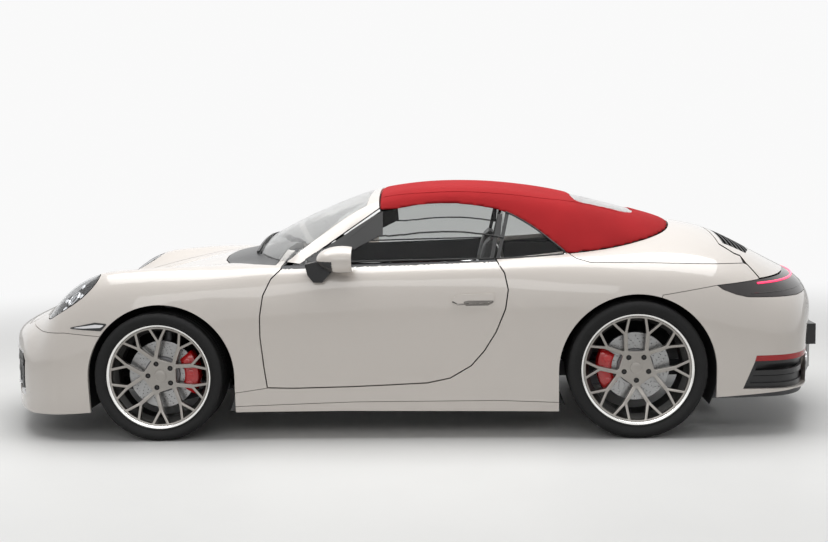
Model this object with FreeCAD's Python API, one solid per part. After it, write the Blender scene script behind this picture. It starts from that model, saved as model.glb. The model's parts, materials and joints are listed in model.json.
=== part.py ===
import FreeCAD, Part
import math
import os

V = FreeCAD.Vector
os.makedirs("parts", exist_ok=True)
doc = FreeCAD.newDocument("Convertible")

# Driving dimensions in millimetres.
sheet = doc.addObject("Spreadsheet::Sheet", "Sizes")
sizes = [
    ("wheelbase", 2450, "front axle to rear axle"),
    ("front_overhang", 1010, "front axle to the tip of the nose"),
    ("rear_overhang", 1059, "rear axle to the tip of the tail"),
    ("overall_width", 1852, "widest point of the rear wings, mirrors apart"),
    ("roof_height", 1300, "ground to the crown of the raised top"),
    ("front_track", 1583, "between the middles of the front tyres"),
    ("rear_track", 1548, "between the middles of the rear tyres"),
    ("front_tyre_radius", 334, "rolling radius in front"),
    ("rear_tyre_radius", 352, "rolling radius behind"),
    ("front_tyre_width", 245, "section width in front"),
    ("rear_tyre_width", 298, "section width behind"),
    ("front_rim_radius", 271.5, "flange radius in front"),
    ("rear_rim_radius", 284, "flange radius behind"),
    ("front_rim_width", 216, "over the flanges in front"),
    ("rear_rim_width", 268, "over the flanges behind"),
    ("rim_flange", 10, "thickness of a rim flange"),
    ("rim_wall", 9, "thickness of the rim barrel"),
    ("bead_fit", 0.3, "clearance between tyre bead and rim"),
    ("spoke_depth", 34, "depth of a spoke along the axle"),
    ("bolt_circle_radius", 65, "radius of the wheel bolt circle"),
    ("bolt_pocket_radius", 14, "radius of the pocket round a wheel bolt"),
    ("spoke_stem_width", 19, "width of a spoke stem"),
    ("spoke_arm_width", 12.5, "width of a spoke arm"),
    ("disc_radius", 175, "brake disc radius"),
    ("disc_thickness", 34, "brake disc thickness"),
    ("disc_bell_radius", 92, "radius of the bell of the disc"),
    ("caliper_length_angle", 74, "angle that a caliper spans, degrees"),
    ("caliper_wall", 20, "caliper beyond the disc on each side"),
    ("caliper_depth", 62, "radial depth of a caliper"),
    ("front_arch_radius", 381, "wheel arch edge in front"),
    ("rear_arch_radius", 396, "wheel arch edge behind"),
    ("front_arch_lead", 14, "arch centre behind the front axle"),
    ("front_arch_drop", 6, "arch centre below the front axle"),
    ("rear_arch_drop", 12, "arch centre below the rear axle"),
    ("front_liner_radius", 404, "inside of the front arch liner"),
    ("rear_liner_radius", 404, "inside of the rear arch liner"),
    ("liner_wall", 4, "thickness of the arch liners"),
    ("front_wheel_room", 321, "tyre's middle to the inboard wall in front"),
    ("rear_wheel_room", 209, "tyre's middle to the inboard wall behind"),
    ("wheel_wall_height", 260, "ground to the inboard wall of a front arch"),
    ("skin_wall", 22, "outer panel with its folded inner frame"),
    ("shell_wall", 14, "inner body shell under the panels"),
    ("shut_gap", 5, "gap round a moving panel"),
    ("seam_gap", 3, "gap between fixed panels"),
    ("fit_gap", 0.3, "clearance between curved pieces that meet"),
    ("overrun", 60, "how far a cutting tool passes the body"),
    ("door_thickness", 170, "outer skin to inner trim of a door"),
    ("glass_wall", 7, "thickness of the windows"),
    ("top_wall", 26, "soft top with its lining"),
    ("frame_wall", 36, "depth of the windscreen frame"),
    ("rear_glass_recess", 6, "rear window below the fabric"),
    ("floor_height", 142, "ground to the underside of the floor"),
    ("floor_wall", 26, "thickness of the floor"),
    ("panel_wall", 18, "thickness of inner walls"),
    ("tub_half_width", 300, "half width of the front luggage tub"),
    ("tunnel_half_width", 110, "half width of the centre tunnel"),
    ("tunnel_height", 190, "height of the centre tunnel"),
    ("steering_wheel_radius", 180, "middle of the rim of the steering wheel"),
    ("steering_wheel_grip", 16, "radius of the grip"),
    ("seat_width", 500, "width of a front seat"),
    ("seat_spacing", 740, "between the middles of the front seats"),
    ("tail_pipe_radius", 44, "radius of an exhaust tip"),
    ("tail_pipe_wall", 4, "wall of an exhaust tip"),
    ("kingpin_lean", 13.4, "lean of the steering axis, degrees"),
    ("strut_radius", 27, "radius of a front strut"),
    ("arm_thickness", 26, "thickness of suspension arms"),
    ("shaft_radius", 18, "radius of a drive shaft"),
    ("grille_bar", 9, "thickness of a grille bar"),
    ("inlet_slats", 7, "number of slots in the engine lid's air inlet"),
    ("front_hub_set_in", 40, "front wheel's hub face behind the rim edge"),
    ("rear_hub_set_in", 56, "rear wheel's hub face behind the rim edge"),
    ("face_set_in", 10, "spoke ends behind the rim edge"),
    ("hub_depth", 36, "depth of the wheel hub"),
    ("disc_behind_hub", 16, "disc face behind the hub's back"),
    ("disc_clearance", 5, "caliper beside the disc"),
    ("caliper_radius", 201, "outside of a caliper"),
    ("knuckle_radius", 52, "radius of a wheel carrier"),
    ("knuckle_length", 74, "length of a wheel carrier"),
    ("spindle_radius", 30, "spindle of a wheel carrier through its disc"),
    ("bearing_gap", 0.5, "gap round a spindle or a pin that turns"),
    ("ball_joint_inset", 75, "lower ball joint inboard of the tyre's middle"),
    ("ball_joint_height", 192, "ground to the lower ball joint"),
    ("strut_top_height", 786, "ground to the top of a front strut"),
    ("spring_radius", 44, "radius of a front spring"),
    ("spring_foot_height", 592, "ground to the lower end of a front spring"),
    ("running_gap", 5, "wheel carrier behind the turning disc"),
    ("handle_stand_off", 9, "door handle proud of the skin"),
    ("wiper_stand_off", 12, "wiper proud of the windscreen"),
    ("mirror_half_length", 130, "half the mirror housing from front to back"),
    ("mirror_half_width", 98, "half the mirror housing across"),
    ("mirror_half_height", 68, "half the mirror housing from top to bottom"),
    ("mirror_reach", 905, "car's middle to the middle of a mirror"),
    ("steering_column_radius", 24, "radius of the steering column"),
    ("steering_column_lean", 24, "fall of the steering column, degrees"),
    ("tail_pipe_length", 190, "length of an exhaust tip"),
    ("seat_rail_height", 110, "floor to the front seat cushions"),
    ("headlamp_half_length", 190, "half the length of a headlamp along the wing"),
    ("headlamp_half_width", 116, "half the width of a headlamp"),
    ("headlamp_depth", 95, "depth of a headlamp housing"),
    ("door_step", 22, "inner part of a door behind its shut line"),
    ("lid_landing", 26, "ledge that the bonnet shuts on"),
]
for row, (name, number, note) in enumerate(sizes, start=1):
    sheet.set("A%d" % row, name)
    sheet.set("B%d" % row, "%s" % number)
    sheet.set("C%d" % row, note)
    sheet.setAlias("B%d" % row, name)
doc.recompute()
value = {name: float(sheet.get(name)) for name, number, note in sizes}

wheelbase = value["wheelbase"]
front_overhang = value["front_overhang"]
rear_overhang = value["rear_overhang"]
half_width = value["overall_width"] / 2
roof_height = value["roof_height"]
overrun = value["overrun"]
skin = value["skin_wall"]
shell = value["shell_wall"]
shut = value["shut_gap"]
seam = value["seam_gap"]
fit = value["fit_gap"]

front_axle_x = front_overhang - (front_overhang + wheelbase + rear_overhang) / 2
rear_axle_x = front_axle_x + wheelbase

# Every outline below is written in shares of the body's main sizes, counted so:
# lengthwise from the front axle, forward in parts of the front overhang, then in
# parts of the wheelbase, then of the rear overhang; across in parts of the half
# width; upward in parts of the roof height.
front_overhang_shares = 1010
wheelbase_shares = 2450
rear_overhang_shares = 1059
half_width_shares = 926
roof_height_shares = 1300


def at_x(share):
    if share < 0:
        return front_axle_x + share * front_overhang / front_overhang_shares
    if share <= wheelbase_shares:
        return front_axle_x + share * wheelbase / wheelbase_shares
    return rear_axle_x + (share - wheelbase_shares) * rear_overhang / rear_overhang_shares


def at_y(share):
    return share * half_width / half_width_shares


def at_z(share):
    return share * roof_height / roof_height_shares


def spot(x, y, z):
    return V(at_x(x), at_y(y), at_z(z))


# Rows of points across the car; a bow moves the sides of a row lengthwise, more towards the edge.
def cross_section_rows(table, bow_shares):
    rows = []
    for x, half in table.items():
        bow = bow_shares.get(x, 0)
        widest = max(y for y, z in half)
        left = [spot(x + bow * (y / widest) ** 2, -y, z) for y, z in reversed(half)]
        right = [spot(x + bow * (y / widest) ** 2, y, z) for y, z in half[1:]]
        rows.append(left + right)
    return rows


# Parameters of a row of points from the mean distance between neighbours.
def mean_parameters(rows):
    lengths = [sum(row[k].distanceToPoint(row[k + 1]) for row in rows) for k in range(len(rows[0]) - 1)]
    total = sum(lengths)
    return [sum(lengths[:k]) / total for k in range(len(lengths))] + [1.0]


def curve_through(points, parameters):
    curve = Part.BSplineCurve()
    curve.interpolate(Points=points, Parameters=parameters)
    return curve


# A smooth skin through the rows: each row is a curve, and their poles are joined lengthwise.
def skin_surface(rows):
    across = mean_parameters(rows)
    along = mean_parameters([list(column) for column in zip(*rows)])
    row_curves = [curve_through(row, across) for row in rows]
    columns = list(zip(*[curve.getPoles() for curve in row_curves]))
    column_curves = [curve_through(list(column), along) for column in columns]
    poles = [list(pole_row) for pole_row in zip(*[curve.getPoles() for curve in column_curves])]
    for pole_row, row in ((poles[0], rows[0]), (poles[-1], rows[-1])):
        for pole in pole_row:
            pole.x = row[0].x
    for pole_row in poles:
        pole_row[0].z = rows[0][0].z
        pole_row[-1].z = rows[0][0].z
    surface = Part.BSplineSurface()
    surface.buildFromPolesMultsKnots(
        poles,
        column_curves[0].getMultiplicities(), row_curves[0].getMultiplicities(),
        column_curves[0].getKnots(), row_curves[0].getKnots(),
        False, False, column_curves[0].Degree, row_curves[0].Degree)
    return surface


def closed_body(surface):
    u0, u1, v0, v1 = surface.bounds()
    near = surface.vIso(v0).toShape()
    far = surface.vIso(v1).toShape()
    nose = surface.uIso(u0).toShape()
    tail = surface.uIso(u1).toShape()
    nose_line = Part.makeLine(surface.value(u0, v0), surface.value(u0, v1))
    tail_line = Part.makeLine(surface.value(u1, v0), surface.value(u1, v1))
    bottom = Part.Face(Part.Wire(Part.__sortEdges__([near, nose_line, far, tail_line])))
    nose_face = Part.Face(Part.Wire(Part.__sortEdges__([nose, nose_line])))
    tail_face = Part.Face(Part.Wire(Part.__sortEdges__([tail, tail_line])))
    solid = Part.makeSolid(Part.makeShell([surface.toShape(), bottom, nose_face, tail_face]))
    if solid.Volume < 0:
        solid.reverse()
    return solid


# The same skin, moved inward by a depth along its own normals.
def inset_rows(surface, rows, depth):
    inner = []
    across = mean_parameters(rows)
    along = mean_parameters([list(column) for column in zip(*rows)])
    last = len(rows) - 1
    middle = len(rows[0]) // 2
    for i, row in enumerate(rows):
        moved = []
        for j, point in enumerate(row):
            normal = surface.normal(along[i], across[j])
            outward = V(point.x, 0, rows[0][0].z)
            if normal.dot(point - outward) < 0:
                normal = normal * -1
            if i in (0, last):
                normal = V(0, normal.y, normal.z)
                if normal.Length > 0:
                    normal.normalize()
            target = point - normal * depth
            if i == 0:
                target.x = point.x + depth
            if i == last:
                target.x = point.x - depth
            if j == middle:
                target.y = 0
            if j in (0, len(row) - 1):
                target.z = point.z - depth
            moved.append(target)
        inner.append(moved)
    return inner


def sorted_pair(a, b):
    return (a, b) if a < b else (b, a)


def side_prism(points, y0, y1):
    wire = Part.makePolygon([V(at_x(x), at_y(y0), at_z(z)) for x, z in points + points[:1]])
    return Part.Face(wire).extrude(V(0, at_y(y1) - at_y(y0), 0))


def top_prism(points, z0, z1):
    wire = Part.makePolygon([V(at_x(x), at_y(y), at_z(z0)) for x, y in points + points[:1]])
    return Part.Face(wire).extrude(V(0, 0, at_z(z1) - at_z(z0)))


def front_prism(points, x0, x1):
    wire = Part.makePolygon([V(at_x(x0), at_y(y), at_z(z)) for y, z in points + points[:1]])
    return Part.Face(wire).extrude(V(at_x(x1) - at_x(x0), 0, 0))


def both_sides(points):
    return points + [(x, -y) for x, y in reversed(points) if y != 0]


# An outline drawn in by a distance, as shares again.
def drawn_in(points, gap):
    area = sum(a[0] * b[1] - b[0] * a[1] for a, b in zip(points, points[1:] + points[:1]))
    turn = 1 if area > 0 else -1
    step = gap * half_width_shares / half_width
    moved = []
    count = len(points)
    for i in range(count):
        before, here, after = points[i - 1], points[i], points[(i + 1) % count]
        ax, ay = here[0] - before[0], here[1] - before[1]
        bx, by = after[0] - here[0], after[1] - here[1]
        al, bl = math.hypot(ax, ay), math.hypot(bx, by)
        nx = -(ay / al + by / bl) * turn
        ny = (ax / al + bx / bl) * turn
        length = math.hypot(nx, ny)
        nx, ny = nx / length, ny / length
        cosine = max(0.35, (nx * -ay / al + ny * ax / al) * turn)
        moved.append((here[0] + nx * step / cosine, here[1] + ny * step / cosine))
    return moved


def mirrored(shape):
    return shape.mirror(V(0, 0, 0), V(0, 1, 0))


def pair(shape):
    return Part.makeCompound([shape, mirrored(shape)])


def solids_over(shape, least):
    keep = [s for s in shape.Solids if s.Volume > least]
    return keep[0] if len(keep) == 1 else Part.makeCompound(keep)


def box(x0, x1, y0, y1, z0, z1):
    a, b = sorted_pair(at_x(x0), at_x(x1))
    c, d = sorted_pair(at_y(y0), at_y(y1))
    e, f = sorted_pair(at_z(z0), at_z(z1))
    return Part.makeBox(b - a, d - c, f - e, V(a, c, e))


parts = []


def add(name, shape):
    feature = doc.addObject("Part::Feature", name)
    feature.Shape = shape
    feature.Label = name
    feature.Placement = shape.Placement
    parts.append(feature)
    return feature


# Body cross-sections: half width and height shares from the middle to the sill.
body_section_shares = {
    -1008: [(0, 460), (27, 460), (51, 457), (73, 450), (94, 440), (113, 428), (128, 410),
            (139, 390), (146, 368), (150, 340), (151, 300), (150, 220), (147, 120)],
    -985: [(0, 512), (90, 511), (170, 506), (245, 497), (310, 484), (365, 465), (410, 440),
           (442, 412), (462, 380), (473, 345), (478, 300), (476, 220), (467, 120)],
    -930: [(0, 548), (140, 547), (260, 540), (360, 528), (445, 510), (510, 486), (560, 456),
           (595, 422), (616, 385), (627, 345), (632, 295), (630, 215), (617, 120)],
    -840: [(0, 593), (170, 591), (320, 585), (440, 572), (535, 552), (610, 525), (662, 492),
           (698, 453), (720, 410), (732, 360), (738, 300), (735, 215), (722, 120)],
    -700: [(0, 653), (190, 651), (370, 644), (510, 630), (620, 606), (695, 568), (745, 522),
           (780, 470), (800, 418), (810, 362), (813, 300), (808, 215), (792, 120)],
    -540: [(0, 706), (210, 704), (400, 701), (550, 712), (660, 735), (735, 722), (795, 676),
           (838, 612), (865, 538), (880, 460), (888, 370), (882, 235), (862, 120)],
    -370: [(0, 757), (220, 755), (420, 753), (570, 786), (680, 839), (755, 834), (815, 786),
           (858, 716), (885, 628), (900, 532), (908, 420), (900, 245), (877, 120)],
    -180: [(0, 812), (230, 809), (430, 803), (580, 826), (690, 869), (765, 867), (828, 823),
           (872, 755), (898, 674), (912, 580), (916, 450), (905, 245), (882, 120)],
    0: [(0, 858), (240, 855), (440, 846), (590, 858), (695, 882), (770, 878), (835, 838),
        (880, 775), (905, 698), (917, 605), (919, 460), (908, 245), (882, 120)],
    250: [(0, 905), (240, 902), (440, 892), (590, 884), (695, 888), (768, 878), (828, 844),
          (870, 786), (892, 705), (902, 610), (904, 460), (902, 245), (882, 120)],
    500: [(0, 950), (240, 942), (440, 922), (590, 902), (705, 893), (775, 882), (825, 850),
          (858, 795), (880, 715), (890, 615), (889, 460), (890, 245), (878, 120)],
    900: [(0, 905), (240, 903), (440, 900), (600, 896), (725, 892), (790, 883), (835, 852),
          (861, 798), (876, 718), (883, 615), (880, 460), (886, 245), (878, 120)],
    1400: [(0, 915), (240, 913), (440, 909), (600, 905), (725, 902), (793, 892), (840, 858),
           (867, 802), (881, 720), (886, 615), (880, 460), (886, 245), (878, 120)],
    1800: [(0, 940), (240, 937), (440, 930), (600, 922), (720, 916), (790, 905), (845, 872),
           (877, 815), (896, 730), (903, 620), (895, 460), (890, 245), (880, 120)],
    2150: [(0, 1010), (240, 1003), (430, 985), (570, 965), (680, 947), (772, 923), (839, 885),
           (884, 822), (912, 735), (920, 620), (914, 460), (902, 245), (884, 120)],
    2450: [(0, 1052), (240, 1043), (420, 1020), (550, 992), (660, 962), (755, 925), (832, 878),
           (885, 812), (915, 725), (926, 615), (922, 460), (906, 245), (884, 120)],
    2750: [(0, 1052), (240, 1042), (410, 1015), (535, 985), (645, 950), (742, 908), (820, 855),
           (876, 785), (908, 700), (921, 600), (918, 450), (900, 245), (880, 120)],
    2950: [(0, 1003), (230, 993), (400, 970), (525, 942), (632, 908), (725, 865), (800, 812),
           (855, 742), (887, 660), (902, 570), (902, 440), (888, 245), (868, 120)],
    3130: [(0, 915), (220, 907), (385, 888), (505, 866), (605, 838), (695, 800), (765, 750),
           (818, 688), (852, 618), (870, 545), (874, 435), (862, 245), (842, 120)],
    3290: [(0, 828), (210, 821), (365, 808), (480, 792), (575, 771), (655, 742), (722, 702),
           (772, 652), (808, 592), (829, 525), (834, 430), (824, 245), (804, 120)],
    3400: [(0, 765), (190, 760), (330, 750), (435, 736), (520, 716), (595, 688), (655, 652),
           (702, 608), (735, 558), (754, 500), (760, 425), (750, 245), (730, 120)],
    3470: [(0, 680), (150, 678), (265, 670), (355, 658), (430, 640), (495, 615), (548, 582),
           (590, 545), (620, 503), (640, 458), (648, 405), (642, 245), (624, 120)],
    3507: [(0, 570), (32, 568), (57, 562), (77, 552), (94, 538), (109, 518), (120, 492),
           (130, 462), (136, 430), (140, 395), (141, 350), (140, 235), (135, 120)],
}

# How far the sides of a section fall back from its middle, so that nose and tail are round in plan.
plan_bow_shares = {-985: 100, -930: 112, -840: 90, -700: 31, 3130: -10, 3290: -70, 3400: -105, 3470: -121}

# Windscreen, raised top and side windows as one form over the belt.
canopy_section_shares = {
    330: [(0, 900), (200, 893), (380, 870), (480, 845), (545, 820), (595, 790), (640, 740),
          (675, 690), (690, 600)],
    500: [(0, 1013), (200, 997), (390, 950), (500, 908), (570, 872), (622, 835), (670, 790),
          (702, 740), (716, 600)],
    800: [(0, 1158), (200, 1145), (400, 1103), (530, 1058), (612, 1018), (662, 978), (708, 930),
          (760, 880), (786, 600)],
    1080: [(0, 1256), (200, 1250), (380, 1232), (485, 1212), (560, 1188), (605, 1150),
           (686, 1030), (768, 885), (790, 600)],
    1270: [(0, 1288), (200, 1283), (380, 1270), (480, 1255), (550, 1225), (592, 1178),
           (686, 1035), (770, 890), (790, 600)],
    1540: [(0, 1300), (200, 1295), (380, 1282), (488, 1266), (555, 1234), (592, 1185),
           (686, 1040), (770, 900), (790, 600)],
    1850: [(0, 1279), (200, 1273), (380, 1257), (490, 1237), (565, 1195), (618, 1130),
           (694, 1020), (764, 912), (788, 600)],
    2100: [(0, 1236), (200, 1229), (380, 1211), (485, 1191), (565, 1150), (630, 1085),
           (692, 1010), (745, 937), (774, 600)],
    2235: [(0, 1203), (200, 1197), (370, 1182), (468, 1163), (550, 1125), (616, 1070),
           (673, 1008), (716, 954), (752, 600)],
    2400: [(0, 1160), (190, 1155), (345, 1143), (435, 1125), (512, 1095), (575, 1052),
           (623, 1010), (658, 970), (696, 600)],
    2550: [(0, 1117), (165, 1112), (300, 1102), (382, 1087), (450, 1065), (503, 1038),
           (540, 1015), (564, 990), (600, 600)],
    2660: [(0, 1083), (125, 1080), (235, 1073), (305, 1063), (355, 1050), (392, 1036),
           (415, 1024), (430, 1010), (458, 600)],
    2712: [(0, 1058), (85, 1056), (160, 1051), (212, 1043), (250, 1032), (278, 1018),
           (296, 1004), (306, 988), (325, 600)],
}

body_rows = cross_section_rows(body_section_shares, plan_bow_shares)
body_skin = skin_surface(body_rows)
body_outer = closed_body(body_skin)
body_inner = closed_body(skin_surface(inset_rows(body_skin, body_rows, skin)))
body_core = closed_body(skin_surface(inset_rows(body_skin, body_rows, skin + shell)))
body_rest = closed_body(skin_surface(inset_rows(body_skin, body_rows, skin - fit)))
panel_shell = body_outer.cut(body_inner)
inner_shell = body_inner.cut(body_core)

canopy_rows = cross_section_rows(canopy_section_shares, {})
canopy_skin = skin_surface(canopy_rows)
canopy_outer = closed_body(canopy_skin)


def canopy_inset(depth):
    return closed_body(skin_surface(inset_rows(canopy_skin, canopy_rows, depth)))



# Wheel centres and arches.
front_hub_y = value["front_track"] / 2
rear_hub_y = value["rear_track"] / 2
front_hub_z = value["front_tyre_radius"]
rear_hub_z = value["rear_tyre_radius"]
front_arch_centre = V(front_axle_x + value["front_arch_lead"], 0, front_hub_z - value["front_arch_drop"])
# The front liner is centred on the axle, so that the steered tyre clears it at both locks.
front_liner_centre = V(front_axle_x, 0, front_arch_centre.z)
rear_arch_centre = V(rear_axle_x, 0, rear_hub_z - value["rear_arch_drop"])


def arch_drum(centre, radius, y0, y1):
    a, b = sorted_pair(y0, y1)
    return Part.makeCylinder(radius, b - a, V(centre.x, a, centre.z), V(0, 1, 0))


# The opening of an arch: round above its centre, upright below it.
def arch_opening(centre, radius):
    reach = half_width + overrun
    lower = Part.makeBox(radius * 2, reach * 2, centre.z, V(centre.x - radius, -reach, 0))
    return arch_drum(centre, radius, -reach, reach).fuse(lower)


arch_holes = [
    arch_opening(front_arch_centre, value["front_arch_radius"]),
    arch_opening(rear_arch_centre, value["rear_arch_radius"]),
]

# Shut lines seen from the side.
bumper_shut_shares = [(-832, 592), (-740, 567), (-655, 558), (-490, 566), (-280, 548)]
door_front_shares = [(640, 930), (633, 874), (588, 831), (548, 748), (531, 642), (530, 534), (545, 385),
                     (561, 270)]
door_rear_shares = [(700, 266), (1000, 272), (1211, 280), (1387, 288), (1504, 312), (1612, 375), (1681, 453),
                    (1741, 550), (1790, 667), (1805, 764), (1788, 847), (1742, 915), (1730, 930)]
door_outline_shares = door_front_shares + door_rear_shares
sill_top_shares = [(300, 240), (394, 247), (472, 257), (561, 270)]
sill_low_shares = [(2200, 182), (2050, 185), (1755, 196), (1007, 194), (391, 175), (300, 172)]
cover_low_shares = [(2111, 937), (2152, 911), (2221, 892), (2520, 885), (3022, 863)]
lid_side_shares = [(2905, 1100), (2920, 1010), (2925, 950), (2990, 905), (3020, 893), (3040, 855), (3085, 794)]
lamp_top_shares = [(2852, 771), (3035, 783), (3085, 787), (3298, 795), (3600, 802)]
lamp_low_shares = [(3600, 702), (3306, 694), (3120, 702), (3008, 708), (2944, 724), (2880, 750)]
rear_bumper_shut_shares = [(2560, 690), (2575, 730), (2852, 771)]
# Shut lines seen from above.
bonnet_side_shares = [(-832, 440), (-760, 500), (-640, 520), (-490, 512), (-300, 532), (0, 575), (200, 592),
                      (330, 590)]
cowl_front_shares = [(256, 0), (262, 250), (286, 450), (330, 590)]
cowl_side_shares = [(353, 600), (487, 700), (600, 742)]
canopy_glass_shares = [(405, 0), (425, 250), (476, 450), (540, 580), (595, 652), (800, 616), (1066, 560),
                       (1074, 300), (1077, 0)]
cabin_hole_shares = [(600, 735), (700, 745), (900, 752), (1400, 756), (1800, 750), (2050, 715), (2270, 640)]

wide = 1200
cabin_hole = top_prism([(600, 0)] + cabin_hole_shares + [(2270, 0)], 100, 1200)
cabin_hole = cabin_hole.fuse(mirrored(cabin_hole))


def panel(outline, gap, prism, shape):
    return shape.common(prism(drawn_in(outline, gap), *([-wide, wide] if prism is side_prism else [80, 1250])))


half_seam = seam / 2

# Front bumper.
nose_outline_shares = [(-1100, 100), (-1100, 720), (-832, 720)] + bumper_shut_shares + [(-240, 500), (-240, 100)]
bumper_zone = side_prism(drawn_in(nose_outline_shares, half_seam), -wide, wide)
front_bumper = panel_shell.common(bumper_zone).cut(arch_holes[0])
lip_shares = [(-1100, 60), (-1100, 186), (-996, 175), (-876, 146), (-709, 125), (-356, 148), (500, 148), (500, 60)]
front_bumper = front_bumper.cut(side_prism(lip_shares, -wide, wide))

bonnet_outline_shares = both_sides([(-832, 0)] + bonnet_side_shares + cowl_front_shares[::-1][1:])
hood_hole = top_prism(drawn_in(bonnet_outline_shares, -half_seam), 400, 1200)
front_bumper = front_bumper.cut(hood_hole)

# Front intakes: one wide centre mouth and a corner intake each side, seen from the front.
intake_shares = [(300, 235), (380, 400), (560, 438), (660, 430), (708, 396), (716, 240), (680, 212), (520, 200)]
mouth_shares = [(-250, 190), (-270, 320), (-200, 335), (200, 335), (270, 320), (250, 190)]
intake_tool = front_prism(intake_shares, -1080, -600)
intake_holes = [intake_tool, mirrored(intake_tool), front_prism(mouth_shares, -1080, -880)]
front_bumper = front_bumper.cut(Part.makeCompound(intake_holes))
add("front_bumper", solids_over(front_bumper, skin ** 3))

# Bonnet.
bonnet_zone = top_prism(drawn_in(bonnet_outline_shares, shut), 400, 1200)
bonnet_zone = bonnet_zone.cut(box(-900, -823, -wide, wide, 400, 1200))
bonnet = body_outer.common(bonnet_zone).cut(body_rest)
add("bonnet", solids_over(bonnet, skin ** 3))

# Headlamps: an oval drum through the wing, leaning back with its surface.
lamp_centre = spot(-452, -712, 712)
lamp_axis = V(-0.59, -0.44, 0.68)


def oval_drum(centre, axis, half_long, half_wide, depth_out, depth_in):
    # A unit drum stretched to the oval, then turned to its axis.
    drum = Part.makeCylinder(1, depth_out + depth_in, V(0, 0, -depth_in))
    stretch = FreeCAD.Matrix()
    stretch.scale(half_long, half_wide, 1)
    drum = drum.transformGeometry(stretch)
    turn = FreeCAD.Rotation(V(0, 0, 1), axis)
    drum.Placement = FreeCAD.Placement(centre, turn)
    return drum


lamp_hole = oval_drum(lamp_centre, lamp_axis, value["headlamp_half_length"], value["headlamp_half_width"],
                      value["headlamp_depth"], value["headlamp_depth"])
lamp_body = oval_drum(lamp_centre, lamp_axis, value["headlamp_half_length"] - seam,
                      value["headlamp_half_width"] - seam, value["headlamp_depth"], value["headlamp_depth"])
lamp_seat = oval_drum(lamp_centre, lamp_axis, value["headlamp_half_length"] - seam + fit,
                      value["headlamp_half_width"] - seam + fit, value["headlamp_depth"], value["headlamp_depth"])
headlamp = body_outer.common(lamp_body)
add("headlamps", pair(headlamp))
lamp_holes = pair(lamp_hole)

# Front wings, from the bumper to the doors.
left_half = box(-1200, 3700, -wide, 0, 0, 1400)
cowl_outline_shares = both_sides(cowl_front_shares + cowl_side_shares + [(600, 0)])
cowl_hole = top_prism(drawn_in(cowl_outline_shares, -half_seam), 400, 1200)
wing_outline_shares = ([(-832, 1000)] + bumper_shut_shares + [(-240, 420), (250, 300)] + sill_top_shares[:3]
                       + door_front_shares[::-1] + [(640, 1000)])
wing_zone = side_prism(drawn_in(wing_outline_shares, half_seam), -wide, -300)
front_wing = panel_shell.common(wing_zone)
front_wing = front_wing.cut(Part.makeCompound([hood_hole, cowl_hole, lamp_hole, arch_holes[0]]))
front_wing = solids_over(front_wing, skin ** 3)
add("front_wings", pair(front_wing))

# Cowl panel between bonnet and windscreen.
cowl_zone = top_prism(drawn_in(cowl_outline_shares, half_seam), 400, 1200)
cowl = panel_shell.common(cowl_zone)
add("cowl_panel", solids_over(cowl, skin ** 3))

# Doors: the outer skin, and an inner part stepped back from the shut line.
door_limit = -(half_width - value["door_thickness"])
door_skin_zone = side_prism(drawn_in(door_outline_shares, shut), -wide, -600)
door_inner_zone = side_prism(drawn_in(door_outline_shares, shut + value["door_step"]), -wide, -600)
door_slab = Part.makeBox(wheelbase, half_width + door_limit + overrun, roof_height,
                         V(front_axle_x, -half_width - overrun, 0))
door_skin = body_outer.common(door_skin_zone).common(door_slab).cut(body_rest)
door_inner = body_rest.common(door_inner_zone).common(door_slab)
door_left = door_skin.fuse(door_inner)
door_left = solids_over(door_left, skin ** 3)
door_right = mirrored(door_left)

# Sills as closed beams under the doors, and the skirts that end them below.
sill_outline_shares = (sill_top_shares + door_rear_shares[:6] + [(2200, 330)] + sill_low_shares)
sill_zone = side_prism(drawn_in(sill_outline_shares, half_seam), -wide, -600)
sill_beam = body_outer.common(sill_zone).common(box(394, 2300, -wide, -740, 0, 600))
skirt_outline_shares = [(300, 148), (387, 143), (938, 146), (2050, 136), (2250, 136)] + sill_low_shares
skirt_zone = side_prism(drawn_in(skirt_outline_shares, half_seam), -wide, -600)
skirt = body_outer.common(skirt_zone).common(box(300, 2250, -wide, -760, 0, 600))
skirt = skirt.cut(Part.makeCompound(arch_holes))

# Rear quarters with the sills: one panel from the front arch under the door and round the rear arch.
quarter_outline_shares = (sill_top_shares + door_rear_shares + [(1742, 1000), (2111, 1000)]
                          + cover_low_shares + [(3040, 855), (3085, 794)] + lamp_top_shares[:3][::-1]
                          + rear_bumper_shut_shares[:2][::-1] + [(2500, 560), (2300, 400)] + sill_low_shares)
quarter_zone = side_prism(drawn_in(quarter_outline_shares, half_seam), -wide, -300)
quarter = panel_shell.common(quarter_zone).cut(cabin_hole)
sill_room = Part.makeCompound([arch_drum(front_liner_centre, value["front_liner_radius"], -at_y(840), 0),
                               arch_drum(rear_arch_centre, value["rear_liner_radius"], -at_y(840), 0)])
quarter = quarter.fuse(sill_beam.cut(sill_room)).cut(Part.makeCompound(arch_holes))

# Panel behind the top, over the folded roof's well.
cover_outline_shares = ([(2060, 1100), (2060, 1000), (2111, 1000)] + cover_low_shares
                        + lid_side_shares[:5][::-1])
cover_zone = side_prism(drawn_in(cover_outline_shares, half_seam), -wide, wide)
top_cover = panel_shell.common(cover_zone).cut(Part.makeCompound([cabin_hole, canopy_outer]))
add("top_cover", solids_over(top_cover, skin ** 3))

# Tail lamps, one band round the whole tail.
tail_lamp_outline_shares = lamp_top_shares + lamp_low_shares
tail_zone = side_prism(drawn_in(tail_lamp_outline_shares, half_seam), -wide, wide)
tail_band = solids_over(panel_shell.common(tail_zone), skin ** 3)
reflector_shares = [(3037, 386), (3045, 415), (3385, 412), (3391, 384)]
reflector = panel_shell.common(side_prism(drawn_in(reflector_shares, fit), -wide, -500))
reflector = solids_over(reflector, fit ** 3)
add("tail_lamps", Part.makeCompound([tail_band, reflector, mirrored(reflector)]))

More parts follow.
